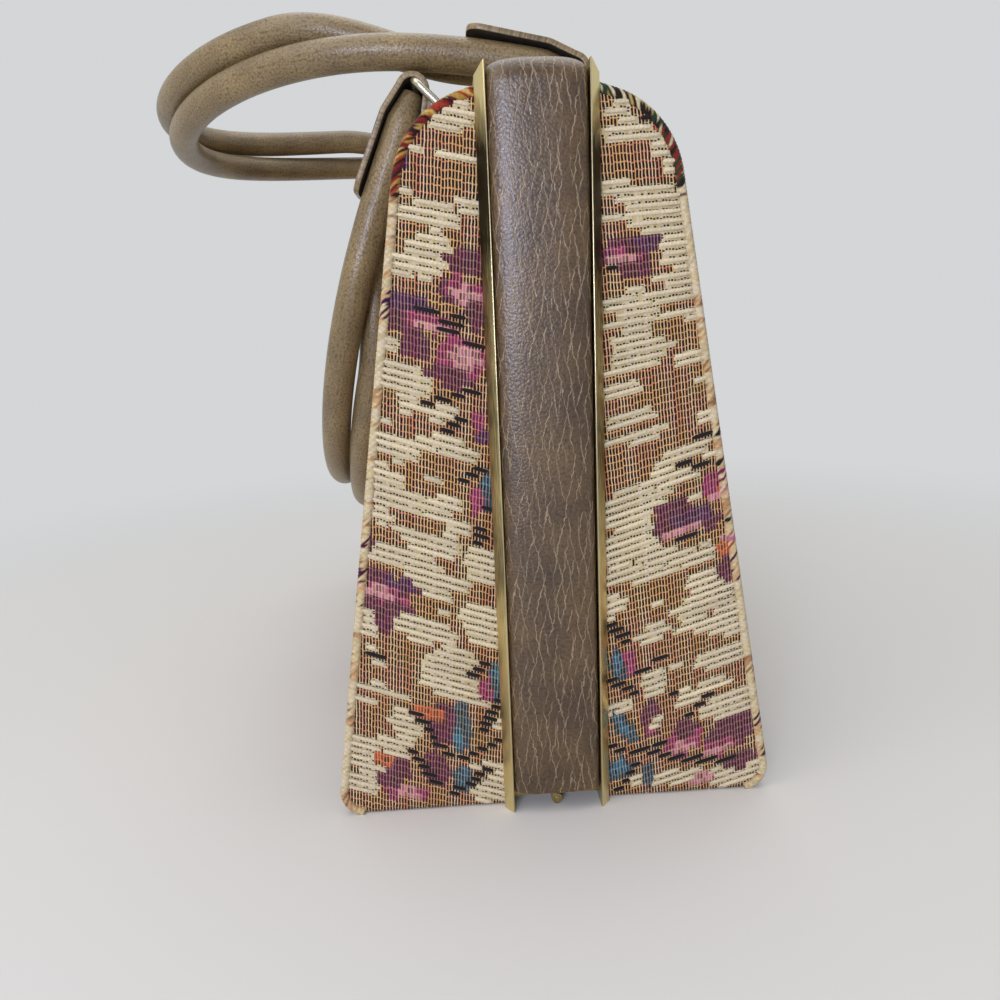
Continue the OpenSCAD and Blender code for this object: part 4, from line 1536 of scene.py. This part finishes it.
    def threads(self, floats: np.ndarray, edges: np.ndarray, rows: np.ndarray) -> list[tuple]:
        """Gather neighbouring float cells of each row into threads, and clear runs too short for one.

        Args:
            floats: Dye numbers of the cells, row by row.
            edges: Edges of the cells across the cloth.
            rows: Middles of the rows.

        Returns:
            Middle across, row, length and dye number of each thread.
        """
        made = []
        for r, row in enumerate(floats):
            breaks = np.nonzero(np.diff(row))[0] + 1
            for start, stop in zip([0, *breaks], [*breaks, len(row)]):
                if row[start] < 0:
                    continue
                if edges[stop] - edges[start] < self.weave.shortest:
                    floats[r, start:stop] = -1
                    continue
                first = edges[start] + self.rng.normal(0, self.float_ends)
                last = edges[stop] + self.rng.normal(0, self.float_ends)
                count = max(1, math.ceil((last - first) / self.weave.longest))
                cuts = np.linspace(first, last, count + 1)
                cuts[1:-1] += self.rng.uniform(-self.float_cuts, self.float_cuts, count - 1)
                for a, b in zip(cuts[:-1], cuts[1:]):
                    at_row = rows[r] + self.rng.normal(0, self.float_sway)
                    made.append(((a + b) / 2, at_row, b - a, row[start]))
        return made

    def cover(self, sheets: list[tuple]) -> None:
        """Make the cloth-covered card shell.

        Args:
            sheets: Vertices, cloth coordinates, faces, dyes and floats of each sheet.
        """
        points, cloth, faces, dyes, floats = [], [], [], [], []
        for sheet in sheets:
            used, renumbered = np.unique(np.array(sheet[2]), return_inverse=True)
            base = sum(map(len, points))
            points.append(sheet[0][used])
            cloth.append(sheet[1][used])
            faces += (renumbered.reshape(-1, 4) + base).tolist()
            dyes.append(sheet[3])
            floats.append(sheet[4])
        piece = mesh_piece(f"{self.name}_cover", np.concatenate(points), faces, self.finishes.ground)
        set_uv(piece, np.concatenate(cloth), "cloth")
        colours = np.array([d.colour for d in DYES], np.float32)[np.concatenate(dyes)]
        weft = piece.data.color_attributes.new("weft", "FLOAT_COLOR", "CORNER")
        weft.data.foreach_set("color", np.repeat(colours, 4, axis=0).ravel())
        cream = np.concatenate(floats) == DYES.index(Dye.CREAM)
        flag = piece.data.attributes.new("cream", "FLOAT", "CORNER")
        flag.data.foreach_set("value", np.repeat(cream.astype(np.float32), 4))
        self.face_out(piece)
        thick = piece.modifiers.new("card", "SOLIDIFY")
        thick.thickness = self.card * MM
        thick.offset = -1
        piece = bake_modifiers(piece)
        seat(piece, f"{self.name}_half", f"{self.name}_shell")

    def face_out(self, piece: bpy.types.Object) -> None:
        """Drop cells that the cut has closed up, and turn the rest away from the middle of the half."""
        mesh = bmesh.new()
        mesh.from_mesh(piece.data)
        bmesh.ops.dissolve_degenerate(mesh, edges=mesh.edges, dist=0.05 * MM)
        small = [f for f in mesh.faces if f.calc_area() < (0.1 * MM) ** 2]
        bmesh.ops.delete(mesh, geom=small, context="FACES")
        middle = Vector((0, self.side * self.profile.base_corner[0] / 2, self.profile.rim / 2)) * MM
        wrong = [f for f in mesh.faces if f.normal.dot(f.calc_center_median() - middle) < 0]
        bmesh.ops.reverse_faces(mesh, faces=wrong)
        mesh.to_mesh(piece.data)
        mesh.free()

    def lay_floats(self, spots: list[Spot]) -> None:
        """Lay a thread on the cloth at each spot with Geometry Nodes.

        Args:
            spots: Where the threads lie.
        """
        outs = np.array([s.out for s in spots], np.float32)
        places = np.array([s.place for s in spots]) + self.float_lift * outs
        carrier = mesh_piece(f"{self.name}_floats", places, [], self.finishes.yarn)
        shade = self.rng.normal(1.0, self.float_shade, len(spots)).clip(*self.float_shades)
        colours = np.array([DYES[s.dye].colour for s in spots], np.float32)
        colours[:, :3] *= shade[:, None]
        set_colours(carrier, "dye", colours)
        for name, kind, key, values in (
            ("along", "FLOAT_VECTOR", "vector", np.array([s.along for s in spots], np.float32)),
            ("out", "FLOAT_VECTOR", "vector", outs),
            ("length", "FLOAT", "value", np.array([s.length for s in spots], np.float32)),
        ):
            carrier.data.attributes.new(name, kind, "POINT").data.foreach_set(key, values.ravel())
        thread = self.thread_shape()
        modifier = carrier.modifiers.new("floats", "NODES")
        modifier.node_group = float_tree()
        sockets = modifier.node_group.interface.items_tree
        modifier[sockets["Thread"].identifier] = thread
        modifier[sockets["Finish"].identifier] = self.finishes.yarn
        carrier = bake_modifiers(carrier)
        bpy.data.objects.remove(thread)
        seat(carrier, f"{self.name}_half")

    def thread_shape(self) -> bpy.types.Object:
        """Make one float a millimetre long: a plump thread whose ends taper and dive into the cloth."""
        sides = self.float_sides
        stations = np.array([-0.5, -0.43, -0.28, 0.28, 0.43, 0.5])
        girth = np.array([0.3, 0.8, 1.0, 1.0, 0.8, 0.3]) * self.weave.float_thick / 2
        dive = np.array([-0.6, -0.15, 0.0, 0.0, -0.15, -0.6])
        turn = math.tau * (np.arange(sides + 1) + 0.5) / sides
        ring = np.stack([np.cos(turn), np.sin(turn) * self.float_flatness], 1)
        path = np.stack([stations, 0 * stations, dive], 1)
        across, up = (np.tile(axis, (len(path), 1)) for axis in ([0.0, 1.0, 0.0], [0.0, 0.0, 1.0]))
        points, faces = sweep(path, across, up, girth[:, None, None] * ring, True)
        thread = mesh_piece("float_shape", points, faces, self.finishes.yarn)
        share = np.arange(sides + 1) / sides
        set_uv(thread, np.stack([np.repeat(stations, len(ring)), np.tile(share, len(path))], 1), "thread")
        outward(thread)
        return thread

    def welt(self, end: int) -> None:
        """Make the twisted cord round an end panel, bright at the mouth and the cloth's cream further on.

        Args:
            end: LEFT or RIGHT.
        """
        line = resample(self.profile.outline(self.seam), self.welt_step)
        line = line[line[:, 1] > self.seam + 0.1]
        ends = np.full(len(line), end * (self.half_length - self.seam))
        path = np.stack([ends, self.side * line[:, 0], line[:, 1]], 1)
        sides = np.tile([float(end), 0.0, 0.0], (len(path), 1))
        ups = np.cross(unit(np.gradient(path, axis=0)), sides)
        along = np.arange(len(path)) * self.welt_step
        turn = np.linspace(0, math.tau, self.welt_sides + 1)
        twist = turn + math.tau * along[:, None] / self.welt_pitch
        radius = self.welt_radius * (1 + self.welt_relief * np.cos(self.welt_strands * turn))
        section = np.stack([radius * np.cos(twist), radius * np.sin(twist)], -1)
        points, faces = sweep(path, sides, ups, section, True)
        piece = mesh_piece(f"{self.name}_welt_cord_{END_NAMES[end]}", points, faces, self.finishes.welt)
        plies = np.tile(turn / math.tau * 2, len(path))
        set_uv(piece, np.stack([np.repeat(along, len(turn)), plies], 1), "thread")
        set_colours(piece, "dye", self.welt_colours(end, line, along, turn).reshape(-1, 4))
        length = piece.data.attributes.new("length", "FLOAT", "POINT")
        length.data.foreach_set("value", np.ones(len(points), np.float32))
        outward(piece)
        seat(piece, f"{self.name}_half", f"{self.name}_welt_{END_NAMES[end]}")

    def welt_colours(self, end: int, line: np.ndarray, along: np.ndarray, turn: np.ndarray) -> np.ndarray:
        """Choose the colour of the welt: bright ends of weft near the mouth, then the cloth's own threads.

        Args:
            end: LEFT or RIGHT.
            line: Depth and height of the cord's middle.
            along: Places along the cord from the mouth at the top.
            turn: Angles round the cord.

        Returns:
            Linear colours by place and angle.
        """
        plan = PLANS[self.side * end]
        u, v = self.cloth.read(line[:, 0], line[:, 1])
        weft, floats = self.weave.dyes(u - self.welt_inset, v, plan.placings, plan.cream)
        warps = [srgb(code) for code in self.welt_threads]
        bright = [srgb(code) for code in WELT_ENDS[self.side]]
        strand = (self.welt_strands * turn[:-1] / math.tau).astype(int)
        picks = self.rng.integers(0, 1000, (self.welt_strands, len(along)))
        made = np.zeros((len(along), len(turn), 4))
        for i, s in enumerate(along):
            threads = warps
            if s < self.welt_bright + self.welt_fade * self.rng.random():
                threads = bright
            elif floats[i] >= 0:
                threads = [DYES[floats[i]].colour, warps[0], DYES[floats[i]].colour, warps[3]]
            elif DYES[weft[i]].colour[3] > self.welt_cover:
                threads = [DYES[weft[i]].colour, warps[0], warps[2]]
            runs = [int(s / self.welt_run + self.welt_stagger * k) for k in range(self.welt_strands)]
            chosen = [threads[picks[k, run] % len(threads)] for k, run in enumerate(runs)]
            made[i, :-1] = [chosen[k] for k in strand]
            made[i, -1] = made[i, 0]
        made[..., 3] = 1.0
        return made


@dataclass
class Band:
    """Leather band between the halves: up one end, across the top and down the other, softly crowned."""

    low: np.ndarray
    high: np.ndarray
    half_length: float
    rim: float
    finishes: Finishes
    turn: float = 0.3
    edge: float = 4.5
    softness: float = 2.9
    columns: int = 41
    step: float = 4.0
    arc_points: int = 16
    sharp: float = math.radians(50)

    def path(self) -> tuple[np.ndarray, np.ndarray]:
        """Trace the cloth under the band.

        Returns:
            Points along the band and the directions out of the bag there.
        """
        x, z = self.half_length - self.turn, self.rim - self.turn
        up = np.arange(self.low[2], z, self.step)
        arc = np.linspace(0, math.pi / 2, self.arc_points)
        over = np.arange(x - self.step, -x, -self.step)
        points = [(self.half_length, h, 0.0) for h in up]
        points += [(x + self.turn * math.cos(a), z + self.turn * math.sin(a), a) for a in arc]
        points += [(at, self.rim, math.pi / 2) for at in over]
        points += [(-x - self.turn * math.sin(a), z + self.turn * math.cos(a), math.pi / 2 + a) for a in arc]
        points += [(-self.half_length, h, math.pi) for h in up[::-1]]
        table = np.array(points)
        zero = np.zeros(len(table))
        return (
            np.stack([table[:, 0], zero, table[:, 1]], 1),
            np.stack([np.cos(table[:, 2]), zero, np.sin(table[:, 2])], 1),
        )

    def section(self) -> np.ndarray:
        """Draw the section of the band: places across and heights over the cloth, round by the underside."""
        middle, half = (self.low[1] + self.high[1]) / 2, (self.high[1] - self.low[1]) / 2
        rise = self.high[0] - self.half_length
        share = np.sin(np.linspace(-math.pi / 2, math.pi / 2, self.columns))
        crown = rise - self.edge + self.edge * (1 - abs(share) ** self.softness) ** (1 / self.softness)
        top = np.stack([middle + half * share, crown], 1)
        foot = [[middle + half, 0.0], [middle - half, 0.0], top[0]]
        return np.concatenate([top, foot])

    def build(self) -> None:
        """Make the band."""
        path, outs = self.path()
        section = self.section()
        sides = np.tile([0.0, 1.0, 0.0], (len(path), 1))
        points, faces = sweep(path, sides, outs, section, True)
        piece = mesh_piece("leather_band", points, faces, self.finishes.band)
        along = lengths_along(path + outs * section[:, 1].max())
        across = lengths_along(section)
        set_uv(piece, np.stack([np.tile(across, len(path)), np.repeat(along, len(section))], 1), "leather")
        outward(piece)
        piece.data.set_sharp_from_angle(angle=self.sharp)
        seat(piece, "front_half", "centre_band")


@dataclass
class Handle:
    """One handle: two rolled leather cords whose ends lie in folded tabs on the rings.

    Its own axes are along the bag, away from the rings and across both. The inner cord lifts over the outer
    one between the two shares of the reach.
    """

    side: int
    turn: float
    reach: float
    bend: float
    lift: float
    lift_shares: tuple[float, float]
    bar: tuple[float, float]
    finishes: Finishes
    span: float = 180.0
    cord: float = 11.0
    gap: float = 0.2
    fold: float = 3.6
    wire: float = 2.6
    play: float = 0.3
    pinch: float = 9.0
    leather: float = 1.9
    flap_long: float = 36.0
    flap_short: float = 8.0
    corner: float = 5.0
    bevel: float = 0.4
    bevel_angle: float = math.radians(40)
    sides: int = 28
    leg_points: int = 40
    bow_points: int = 121
    cord_step: float = 1.8
    tab_step: float = 0.8
    tab_columns: int = 15
    fold_points: int = 15

    def __post_init__(self) -> None:
        """Work out the places that follow from the sizes."""
        self.fold_centre = self.fold - self.wire / 2 - self.play
        self.pinch_end = self.fold_centre + self.pinch
        self.flap = self.cord / 2 + self.gap
        self.tab_width = 2 * self.cord + self.gap
        self.step = self.cord + self.gap

    @property
    def name(self) -> str:
        """Which half the handle is on."""
        return HALF_NAMES[self.side]

    def build(self) -> None:
        """Make both cords and both tabs."""
        for inner in (False, True):
            self.roll(inner)
        for end in END_NAMES:
            self.tab(end)

    def direct(self, vectors: np.ndarray) -> np.ndarray:
        """Turn directions from the handle's axes to the bag's."""
        c, s = math.cos(math.radians(self.turn)), math.sin(math.radians(self.turn))
        x, along, off = vectors[..., 0], vectors[..., 1], vectors[..., 2]
        return np.stack([x, along * c - off * s, along * s + off * c], -1)

    def place(self, points: np.ndarray) -> np.ndarray:
        """Turn points from the handle's axes to the bag's."""
        return self.direct(points) + np.array([0.0, *self.bar])

    def line(self, inner: bool) -> np.ndarray:
        """Trace the middle of a cord.

        Args:
            inner: Whether it is the cord on the narrower spacing.

        Returns:
            Evenly spaced points in the handle's axes.
        """
        x = (self.span - self.step) / 2 if inner else (self.span + self.step) / 2
        bow = self.reach - x + (self.step * (math.pi / 2 - 1) if inner else 0)
        leg = np.linspace(self.fold_centre + self.gap, bow, self.leg_points)
        arc = np.linspace(0, math.pi, self.bow_points)[1:-1]
        u = np.concatenate([leg, bow + x * np.sin(arc), leg[::-1]])
        across = np.concatenate([np.full(len(leg), x), x * np.cos(arc), np.full(len(leg), -x)])
        off = self.bend * (np.maximum(u - self.pinch_end, 0) / (self.reach - self.pinch_end)) ** 2
        if inner:
            low, high = self.lift_shares
            off = off + self.lift * smooth_step((u / self.reach - low) / (high - low))
        return resample(np.stack([across, u, off], 1), self.cord_step)

    def roll(self, inner: bool) -> None:
        """Make one rolled cord.

        Args:
            inner: Whether it is the cord on the narrower spacing.
        """
        path = self.line(inner)
        tangent = unit(np.gradient(path, axis=0))
        sides = unit(np.cross(tangent, [0.0, 0.0, 1.0]))
        ups = np.cross(sides, tangent)
        turn = np.linspace(0, math.tau, self.sides + 1) - math.pi / 2
        taper = (self.flap - self.fold) * np.maximum(self.pinch_end - path[:, 1], 0) / self.pinch
        radius = (self.cord / 2 - taper)[:, None, None]
        section = radius * np.stack([np.cos(turn), np.sin(turn)], -1)
        points, faces = sweep(self.place(path), self.direct(sides), self.direct(ups), section, True)
        word = "inner" if inner else "outer"
        piece = mesh_piece(f"{self.name}_rolled_{word}", points, faces, self.finishes.cord)
        along = lengths_along(path)
        girth = np.linspace(0, math.pi * self.cord, self.sides + 1)
        set_uv(piece, np.stack([np.tile(girth, len(path)), np.repeat(along, len(girth))], 1), "leather")
        outward(piece)
        seat(piece, f"{self.name}_handle", f"{self.name}_cord_{word}")

    def tab(self, end: int) -> None:
        """Make the strip of leather folded over a ring.

        Args:
            end: LEFT or RIGHT.
        """
        mid = self.leather / 2
        arc = np.linspace(math.pi / 2, 3 * math.pi / 2, self.fold_points)
        opened = (self.flap - self.fold) * self.flap_short / self.pinch
        tip = self.fold_centre + self.flap_long
        bent = [self.fold_centre, 0.0] + (self.fold + mid) * np.stack([np.cos(arc), np.sin(arc)], 1)
        first = [[self.fold_centre + self.flap_short, self.fold + mid + opened]]
        last = [[self.pinch_end, -self.flap - mid], [tip, -self.flap - mid]]
        strip = resample(np.concatenate([first, bent, last]), self.tab_step)
        reach_in = np.clip((strip[:, 0] - (tip - self.corner)) / self.corner, 0, 1)
        narrow = self.corner * (1 - np.sqrt(1 - reach_in**2))
        half = self.tab_width / 2 - np.where(strip[:, 1] < 0, narrow, 0)
        share = np.linspace(-1, 1, self.tab_columns)
        path = np.stack([np.full(len(strip), end * self.span / 2), strip[:, 0], strip[:, 1]], 1)
        section = np.stack([half[:, None] * share, np.zeros((len(strip), len(share)))], -1)
        sides, ups = (np.tile(axis, (len(strip), 1)) for axis in ([1.0, 0.0, 0.0], [0.0, 0.0, 1.0]))
        points, faces = sweep(self.place(path), self.direct(sides), self.direct(ups), section, False)
        piece = mesh_piece(f"{self.name}_folded_tab_{END_NAMES[end]}", points, faces, self.finishes.cord)
        along = np.repeat(lengths_along(strip), len(share))
        set_uv(piece, np.stack([section[..., 0].ravel(), along], 1), "leather")
        piece.data.materials.append(self.finishes.flesh)
        self.fold_out(piece, end)
        thick = piece.modifiers.new("leather", "SOLIDIFY")
        thick.thickness = self.leather * MM
        thick.offset = 0
        thick.material_offset = 1
        bevel = piece.modifiers.new("edges", "BEVEL")
        bevel.width = self.bevel * MM
        bevel.segments = 2
        bevel.limit_method = "ANGLE"
        bevel.angle_limit = self.bevel_angle
        piece = bake_modifiers(piece)
        seat(piece, f"{self.name}_handle", f"{self.name}_tab_{END_NAMES[end]}")

    def fold_out(self, piece: bpy.types.Object, end: int) -> None:
        """Turn the grain side of a folded strip away from its inside.

        Args:
            piece: The strip, one sheet thick.
            end: LEFT or RIGHT.
        """
        within = Vector(self.place(np.array([end * self.span / 2, self.fold_centre + 1.0, 0.0]))) * MM
        fold = piece.data.polygons[len(piece.data.polygons) // 4]
        if fold.normal.dot(fold.center - within) < 0:
            piece.data.flip_normals()


@dataclass
class Fittings:
    """The pieces that keep their CAD shape: brass work, rings and linings."""

    frame: dict
    finishes: Finishes
    sharp: float = math.radians(32)
    flat: float = math.radians(0.5)
    merge: float = 0.001
    ease: float = 0.14

    def dress(self) -> None:
        """Put a copy of each CAD node that still shows, with eased edges and its finish, in its place."""
        record = self.frame["record"]
        slots = {part["node"]: part["material_slot"] for part in record["subparts"]}
        bodies = {node: body for body, nodes in record["behaviour"]["bodies"].items() for node in nodes}
        finishes = {
            "lining": self.finishes.lining,
            "brass": self.finishes.brass,
            "wire": self.finishes.wire,
        }
        for name, node in self.frame["nodes"].items():
            if node.hide_render:
                continue
            piece = bpy.data.objects.new(f"{name}_dressed", self.eased(node.data, slots[name] == "brass"))
            piece.data.materials.clear()
            worn = self.finishes.moulding if name.endswith("moulding") else finishes[slots[name]]
            piece.data.materials.append(worn)
            bpy.context.scene.collection.objects.link(piece)
            seat(piece, bodies[name], name)

    def eased(self, source: bpy.types.Mesh, bevelled: bool) -> bpy.types.Mesh:
        """Copy a CAD mesh as merged faces, smooth but for its sharp edges.

        Args:
            source: Loose triangles of the node.
            bevelled: Whether sharp edges are eased too, as on brass that catches the light there.

        Returns:
            The new mesh.
        """
        made = source.copy()
        mesh = bmesh.new()
        mesh.from_mesh(made)
        bmesh.ops.remove_doubles(mesh, verts=mesh.verts, dist=self.merge * MM)
        bmesh.ops.dissolve_limit(mesh, angle_limit=self.flat, verts=mesh.verts, edges=mesh.edges)
        corners = [e for e in mesh.edges if e.calc_face_angle(0) > self.sharp]
        if bevelled:
            bmesh.ops.bevel(
                mesh, geom=corners, offset=self.ease * MM, segments=2, profile=0.5,
                affect="EDGES", clamp_overlap=True,
            )
        for face in mesh.faces:
            face.smooth = True
        for edge in mesh.edges:
            edge.smooth = edge.calc_face_angle(0) < self.sharp
        mesh.to_mesh(made)
        mesh.free()
        return made


@dataclass(frozen=True)
class SoftBox:
    """A square soft lamp: where it hangs and how wide it is in millimetres, its watts and its colour."""

    name: str
    place: tuple[float, float, float]
    size: float
    power: float
    tint: str


@dataclass(frozen=True)
class Studio:
    """Pale floor, soft daylight from the left of the picture and the camera."""

    camera: tuple[float, float, float] = (378.9, -25.8, 158.7)
    yaw: float = -2.52
    pitch: float = 12.19
    roll: float = -2.40
    lens: float = 28.8
    sensor: float = 36.0
    nearest: float = 10.0
    backdrop: str = "#d4d6d8"
    paper: str = "#dedcd8"
    floor_reach: float = 6000.0
    fade: tuple[float, float] = (100.0, 650.0)
    sky_heights: tuple[float, float] = (-0.5, 0.9)
    sky_levels: tuple[float, float] = (0.1, 0.45)
    lamp_aim: tuple[float, float, float] = (0.0, 0.0, 110.0)
    lamps: tuple[SoftBox, ...] = (
        SoftBox("window", (1000, -300, 330), 340, 5.8, "#dce3ff"),
        SoftBox("key", (450, -500, 850), 600, 2.4, "#fff6ea"),
        SoftBox("top", (-150, 50, 1000), 900, 3.8, "#ffffff"),
    )

    def build(self) -> None:
        """Make the floor, the lamps, the world and the camera."""
        bpy.context.scene.view_settings.view_transform = "Standard"
        self.floor()
        for box in self.lamps:
            self.hang(box)
        self.world()
        self.aim()

    def seen(self, tree: bpy.types.NodeTree) -> bpy.types.Node:
        """Tell where a surface is looked at rather than lights something.

        Args:
            tree: The node tree of a material or the world.

        Returns:
            1 for what the camera sees, also in metal or through glass, and 0 for light on the bag.
        """
        path = add_node(tree, "ShaderNodeLightPath")
        seen = path.outputs["Is Camera Ray"]
        for ray in ("Is Glossy Ray", "Is Transmission Ray"):
            seen = add_node(tree, "ShaderNodeMath", {0: seen, 1: path.outputs[ray]}, operation="MAXIMUM")
        return seen

    def world(self) -> None:
        """Make the sky: the plain backdrop where it is seen, and a dim light that grows upwards elsewhere."""
        world = bpy.data.worlds.new("studio")
        world.use_nodes = True
        tree = world.node_tree
        way = add_node(tree, "ShaderNodeTexCoord").outputs["Generated"]
        up = add_node(tree, "ShaderNodeSeparateXYZ", {0: way}).outputs[2]
        (low, high), (dim, bright) = self.sky_heights, self.sky_levels
        sky = add_node(tree, "ShaderNodeMapRange", {0: up, 1: low, 2: high, 3: dim, 4: bright})
        seen = self.seen(tree)
        level = add_node(tree, "ShaderNodeMix", {0: seen, 2: sky, 3: 1.0})
        tint = add_node(
            tree, "ShaderNodeMix", {0: seen, 6: (1.0, 1.0, 1.0, 1.0), 7: srgb(self.backdrop)},
            data_type="RGBA",
        )
        feed(tree.nodes["Background"], {"Color": tint.outputs[2], "Strength": level})
        bpy.context.scene.world = world

    def floor(self) -> None:
        """Lay a wide pale floor that fades into the backdrop."""
        material, paper = new_material("floor_paper", {"Base Color": srgb(self.paper), "Roughness": 0.9})
        tree = material.node_tree
        pale = add_node(tree, "ShaderNodeEmission", {"Color": srgb(self.backdrop), "Strength": 1.0})
        where = add_node(tree, "ShaderNodeTexCoord").outputs["Object"]
        far = add_node(tree, "ShaderNodeVectorMath", {0: where}, operation="LENGTH").outputs["Value"]
        near, end = (distance * MM for distance in self.fade)
        share = add_node(
            tree, "ShaderNodeMapRange", {0: far, 1: near, 2: end}, interpolation_type="SMOOTHSTEP"
        )
        shown = add_node(tree, "ShaderNodeMath", {0: share, 1: self.seen(tree)}, operation="MULTIPLY")
        mixed = add_node(tree, "ShaderNodeMixShader", {0: shown, 1: paper, 2: pale})
        feed(tree.nodes["Material Output"], {"Surface": mixed})
        r = self.floor_reach
        corners = np.array([[-r, -r, 0], [r, -r, 0], [r, r, 0], [-r, r, 0]])
        mesh_piece("floor", corners, [(0, 1, 2, 3)], material)

    def hang(self, box: SoftBox) -> None:
        """Hang a soft box that faces the bag.

        Args:
            box: The lamp.
        """
        light = bpy.data.lights.new(box.name, "AREA")
        light.energy = box.power
        light.size = box.size * MM
        light.color = srgb(box.tint)[:3]
        lamp = bpy.data.objects.new(box.name, light)
        lamp.location = Vector(box.place) * MM
        ahead = Vector(self.lamp_aim) * MM - lamp.location
        lamp.rotation_euler = ahead.to_track_quat("-Z", "Y").to_euler()
        bpy.context.scene.collection.objects.link(lamp)

    def aim(self) -> None:
        """Set the camera where the photograph was taken from."""
        yaw, pitch, roll = (math.radians(a) for a in (self.yaw, self.pitch, self.roll))
        ahead = Vector((-math.cos(yaw) * math.cos(pitch), -math.sin(yaw) * math.cos(pitch), -math.sin(pitch)))
        level = ahead.cross(Vector((0, 0, 1))).normalized()
        above = level.cross(ahead)
        right = math.cos(roll) * level + math.sin(roll) * above
        up = -math.sin(roll) * level + math.cos(roll) * above
        data = bpy.data.cameras.new("camera")
        data.lens = self.lens
        data.sensor_width = self.sensor
        data.clip_start = self.nearest * MM
        camera = bpy.data.objects.new("camera", data)
        turn = Matrix((right, up, -ahead)).transposed().to_4x4()
        camera.matrix_world = Matrix.Translation(Vector(self.camera) * MM) @ turn
        bpy.context.scene.collection.objects.link(camera)
        bpy.context.scene.camera = camera


def joint_place(frame: dict, name: str) -> tuple[float, float]:
    """Find where a joint's axis lies across the bag.

    Args:
        name: Name of the joint.

    Returns:
        Depth and height in millimetres.
    """
    joint = next(j for j in frame["joints"] if j["name"] == name)
    return joint["pos_m"][1] / MM, joint["pos_m"][2] / MM


def main() -> None:
    """Build every piece on the frame."""
    logging.basicConfig(level=logging.INFO, format="%(message)s")
    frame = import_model()
    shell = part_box("front_shell")[1] / MM
    weave = Weave()
    finishes = Finishes(weave, edge=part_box("back_moulding")[0][1] / MM + RIM_REACH)
    profile = HalfProfile(mouth=-shell[1], rim=shell[2])
    CoverHalf(FRONT, profile, shell[0], weave, finishes, climbs=(19.5, 12.0)).build()
    CoverHalf(BACK, profile, shell[0], weave, finishes, climbs=(16.5, 2.5)).build()
    front_bar, back_bar = (joint_place(frame, f"{name}_handle_swing") for name in ("front", "back"))
    Handle(
        FRONT, turn=246, reach=146, bend=16, lift=11.6, lift_shares=(0.22, 0.66),
        bar=front_bar, finishes=finishes,
    ).build()
    Handle(
        BACK, turn=168, reach=150, bend=33, lift=-12.6, lift_shares=(0.25, 0.68),
        bar=back_bar, finishes=finishes,
    ).build()
    band_low, band_high = (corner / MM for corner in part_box("centre_band"))
    Band(band_low, band_high, shell[0], shell[2], finishes).build()
    Fittings(frame, finishes).dress()
    Studio().build()


if __name__ == "__main__":
    main()
